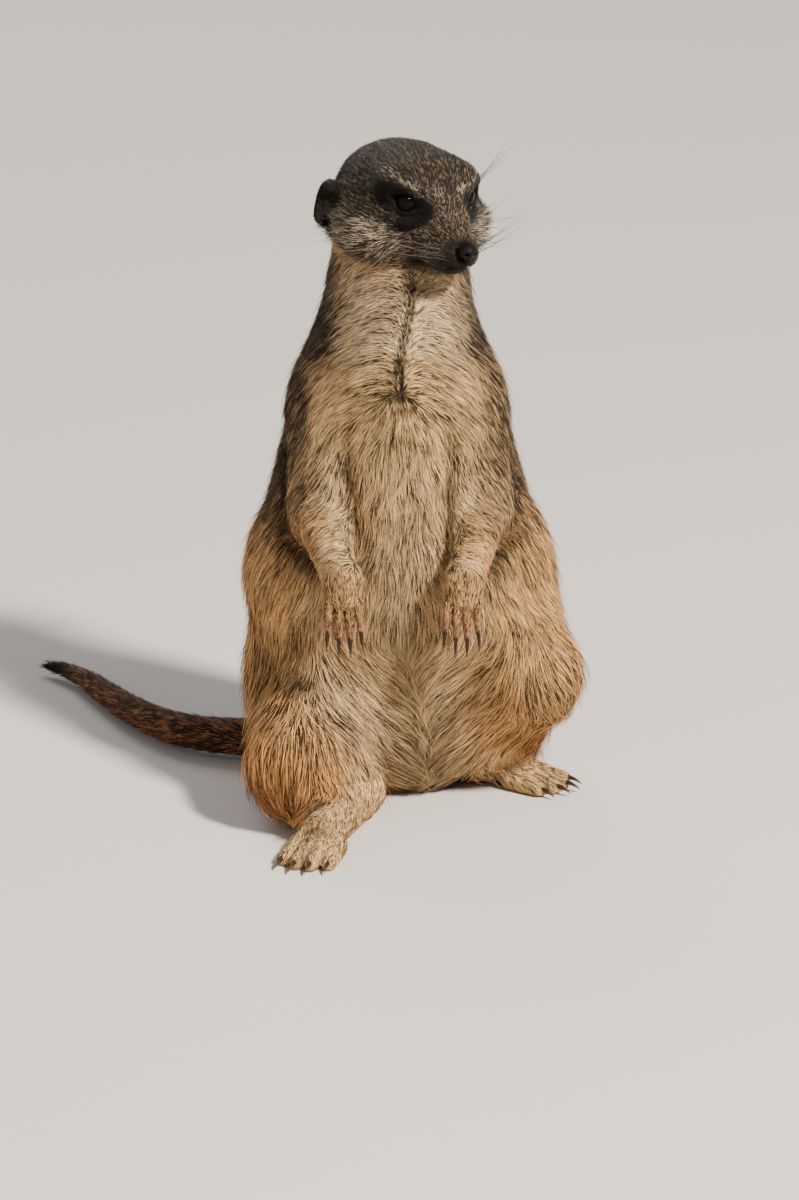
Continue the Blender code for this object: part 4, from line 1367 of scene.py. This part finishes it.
def add_claws(nodes):
    """A curved horn along each packed claw, rooted in its finger or toe."""
    material = claw_paint()
    for name in sorted(n for n in nodes if n.startswith("claw")):
        _, limb, side, number = name.split("_")
        root, tip = claw_line(nodes[name], nodes[f"{limb}_{side}"])
        axis = unit(tip - root)
        root, tip = root - CLAW_BURIED * axis, tip + CLAW_BEYOND * axis
        radius, bow = CLAWS[limb]
        shares = np.linspace(0, 1, TUBE_POINTS)
        line = [root + (tip - root) * t + np.array(bow) * 4 * CLAW_ARCH * t * (1 - t) for t in shares]
        radii = radius * (1 - shares**1.8) + 0.1
        made = joined(f"horn_{limb}_{side}_{number}", [tube(line, radii, 10, 0.75)])
        finished(made, material, "claw", name)


# where whiskers start and the way they leave, on the head's left and in its axes; then length and how many
WHISKERS = (
    ((5.5, -36.0, -7.5), (1.0, 0.15, 0.15), 34, 9),
    ((12.0, -24.0, 11.5), (0.75, -0.35, 1.0), 30, 5),
    ((20.0, -17.0, -6.0), (1.0, 0.2, -0.05), 32, 5),
    ((4.0, -36.0, -13.5), (0.6, -0.2, -1.0), 13, 4),
)


def add_whiskers(field, random):
    """Thin tapered hairs that droop at their ends, rooted in the skin."""
    tubes, shares = [], np.linspace(0, 1, TUBE_POINTS)
    for sign in SIDES.values():
        for start, way, length, count in WHISKERS:
            for _ in range(count):
                spot = np.array(start) + random.normal(0, 1, 3) * (0.8, 1.8, 1.0)
                leave = unit(np.array(way) + random.normal(0, 0.13, 3))
                reach = length * random.uniform(0.6, 1.25)
                droop = random.normal((0, 0.35, -0.1), 0.15)
                line = [spot + leave * reach * t + droop * reach * t * t * 0.5 for t in shares]
                line = out_of_head(np.array(line) * (sign, 1, 1))
                height, up = field.slope(line[:1])
                line = line - up * (height + 0.3)
                tubes.append(tube(line, WHISKER_RADIUS * (1 - 0.85 * shares), 4))
    finished(joined("whiskers", tubes), whisker_paint(), "fur_black")


# ---- the scene


def add_camera():
    """The viewing angle and framing: level with a sitting animal and a little above it."""
    data = bpy.data.cameras.new("camera")
    data.sensor_fit = "VERTICAL"
    data.sensor_height = 36
    data.lens = CAMERA_LENS
    data.clip_end = 20
    camera = add_object("camera", data)
    back = Vector((0, -math.cos(CAMERA_RISE), math.sin(CAMERA_RISE)))
    camera.location = Vector(CAMERA_AIM) * MM + CAMERA_DISTANCE * back
    camera.rotation_euler = (math.pi / 2 - CAMERA_RISE, 0, 0)
    bpy.context.scene.camera = camera


def add_light(name, place, size, power, colour):
    data = bpy.data.lights.new(name, "AREA")
    data.size = size
    data.energy = power
    data.color = colour
    light = add_object(name, data)
    light.location = place
    aim = Vector(LIGHTS_AIM) - light.location
    light.rotation_euler = aim.to_track_quat("-Z", "Y").to_euler()


def add_stage():
    """A plain floor, a pale sky and the lights."""
    bpy.ops.mesh.primitive_plane_add(size=60, location=(0, 0, 0))
    floor = bpy.context.object
    floor.name = "floor"
    floor.data.materials.append(Paint("floor").finish(FLOOR_COLOUR, Roughness=0.9))
    world = bpy.data.worlds.new("studio")
    world.use_nodes = True
    sky = world.node_tree.nodes["Background"]
    sky.inputs["Color"].default_value = SKY_COLOUR
    sky.inputs["Strength"].default_value = SKY_STRENGTH
    bpy.context.scene.world = world
    for light in LIGHTS:
        add_light(*light)


def add_coat(roots, body, material, random):
    """The coat's pieces, each of the locks of one part of the body and under the limit of triangles."""
    groups = np.array([coat_of(name).group for name in body.regions.names])[roots.owner]
    for group in sorted(set(groups)):
        members = np.flatnonzero(groups == group)
        bends = next(coat.bends for coat in COATS.values() if coat.group == group)
        pieces = math.ceil(len(members) / (PIECE_TRIANGLES // (2 * bends - 1)))
        for i in range(pieces):
            piece = ribbons(f"coat_{group}_{i + 1}", roots, members[i::pieces], bends, body, random)
            finished(piece, material, SLOTS.get(group, "fur_tan"))


def main():
    for obj in list(bpy.data.objects):
        bpy.data.objects.remove(obj)
    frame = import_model()
    solids_box = [list(corner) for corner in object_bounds()]
    nodes = frame["nodes"]
    random = np.random.default_rng(7)
    flesh = sorted(name for name in nodes if not name.startswith(("claw", "eye", "nose")))
    low, high = (np.array(corner) / MM for corner in solids_box)
    low, high = low - REACH - 2, high + REACH + 2
    regions = Regions(nodes, flesh, low, high)
    field = skin_field(nodes, flesh, low, high, regions)
    skin = make_skin(field)
    unwrap(skin)
    fingers = [line for side in SIDES for line in digit_lines(nodes, "hand", side)]
    body = Body(regions, fingers, field, Lie(nodes, regions))
    tone, _ = tones(points_of(skin), regions, fingers)
    add_values(skin.data, "tone", tone)
    add_values(skin.data, "bare", finger_share(points_of(skin), fingers))
    finished(skin, skin_paint(), "fur_tan", *flesh)
    roots = Roots(skin, regions, fingers, random)
    add_coat(roots, body, coat_paint(), random)
    add_eyes()
    add_nose()
    add_claws(nodes)
    add_whiskers(field, random)
    add_stage()
    add_camera()


main()
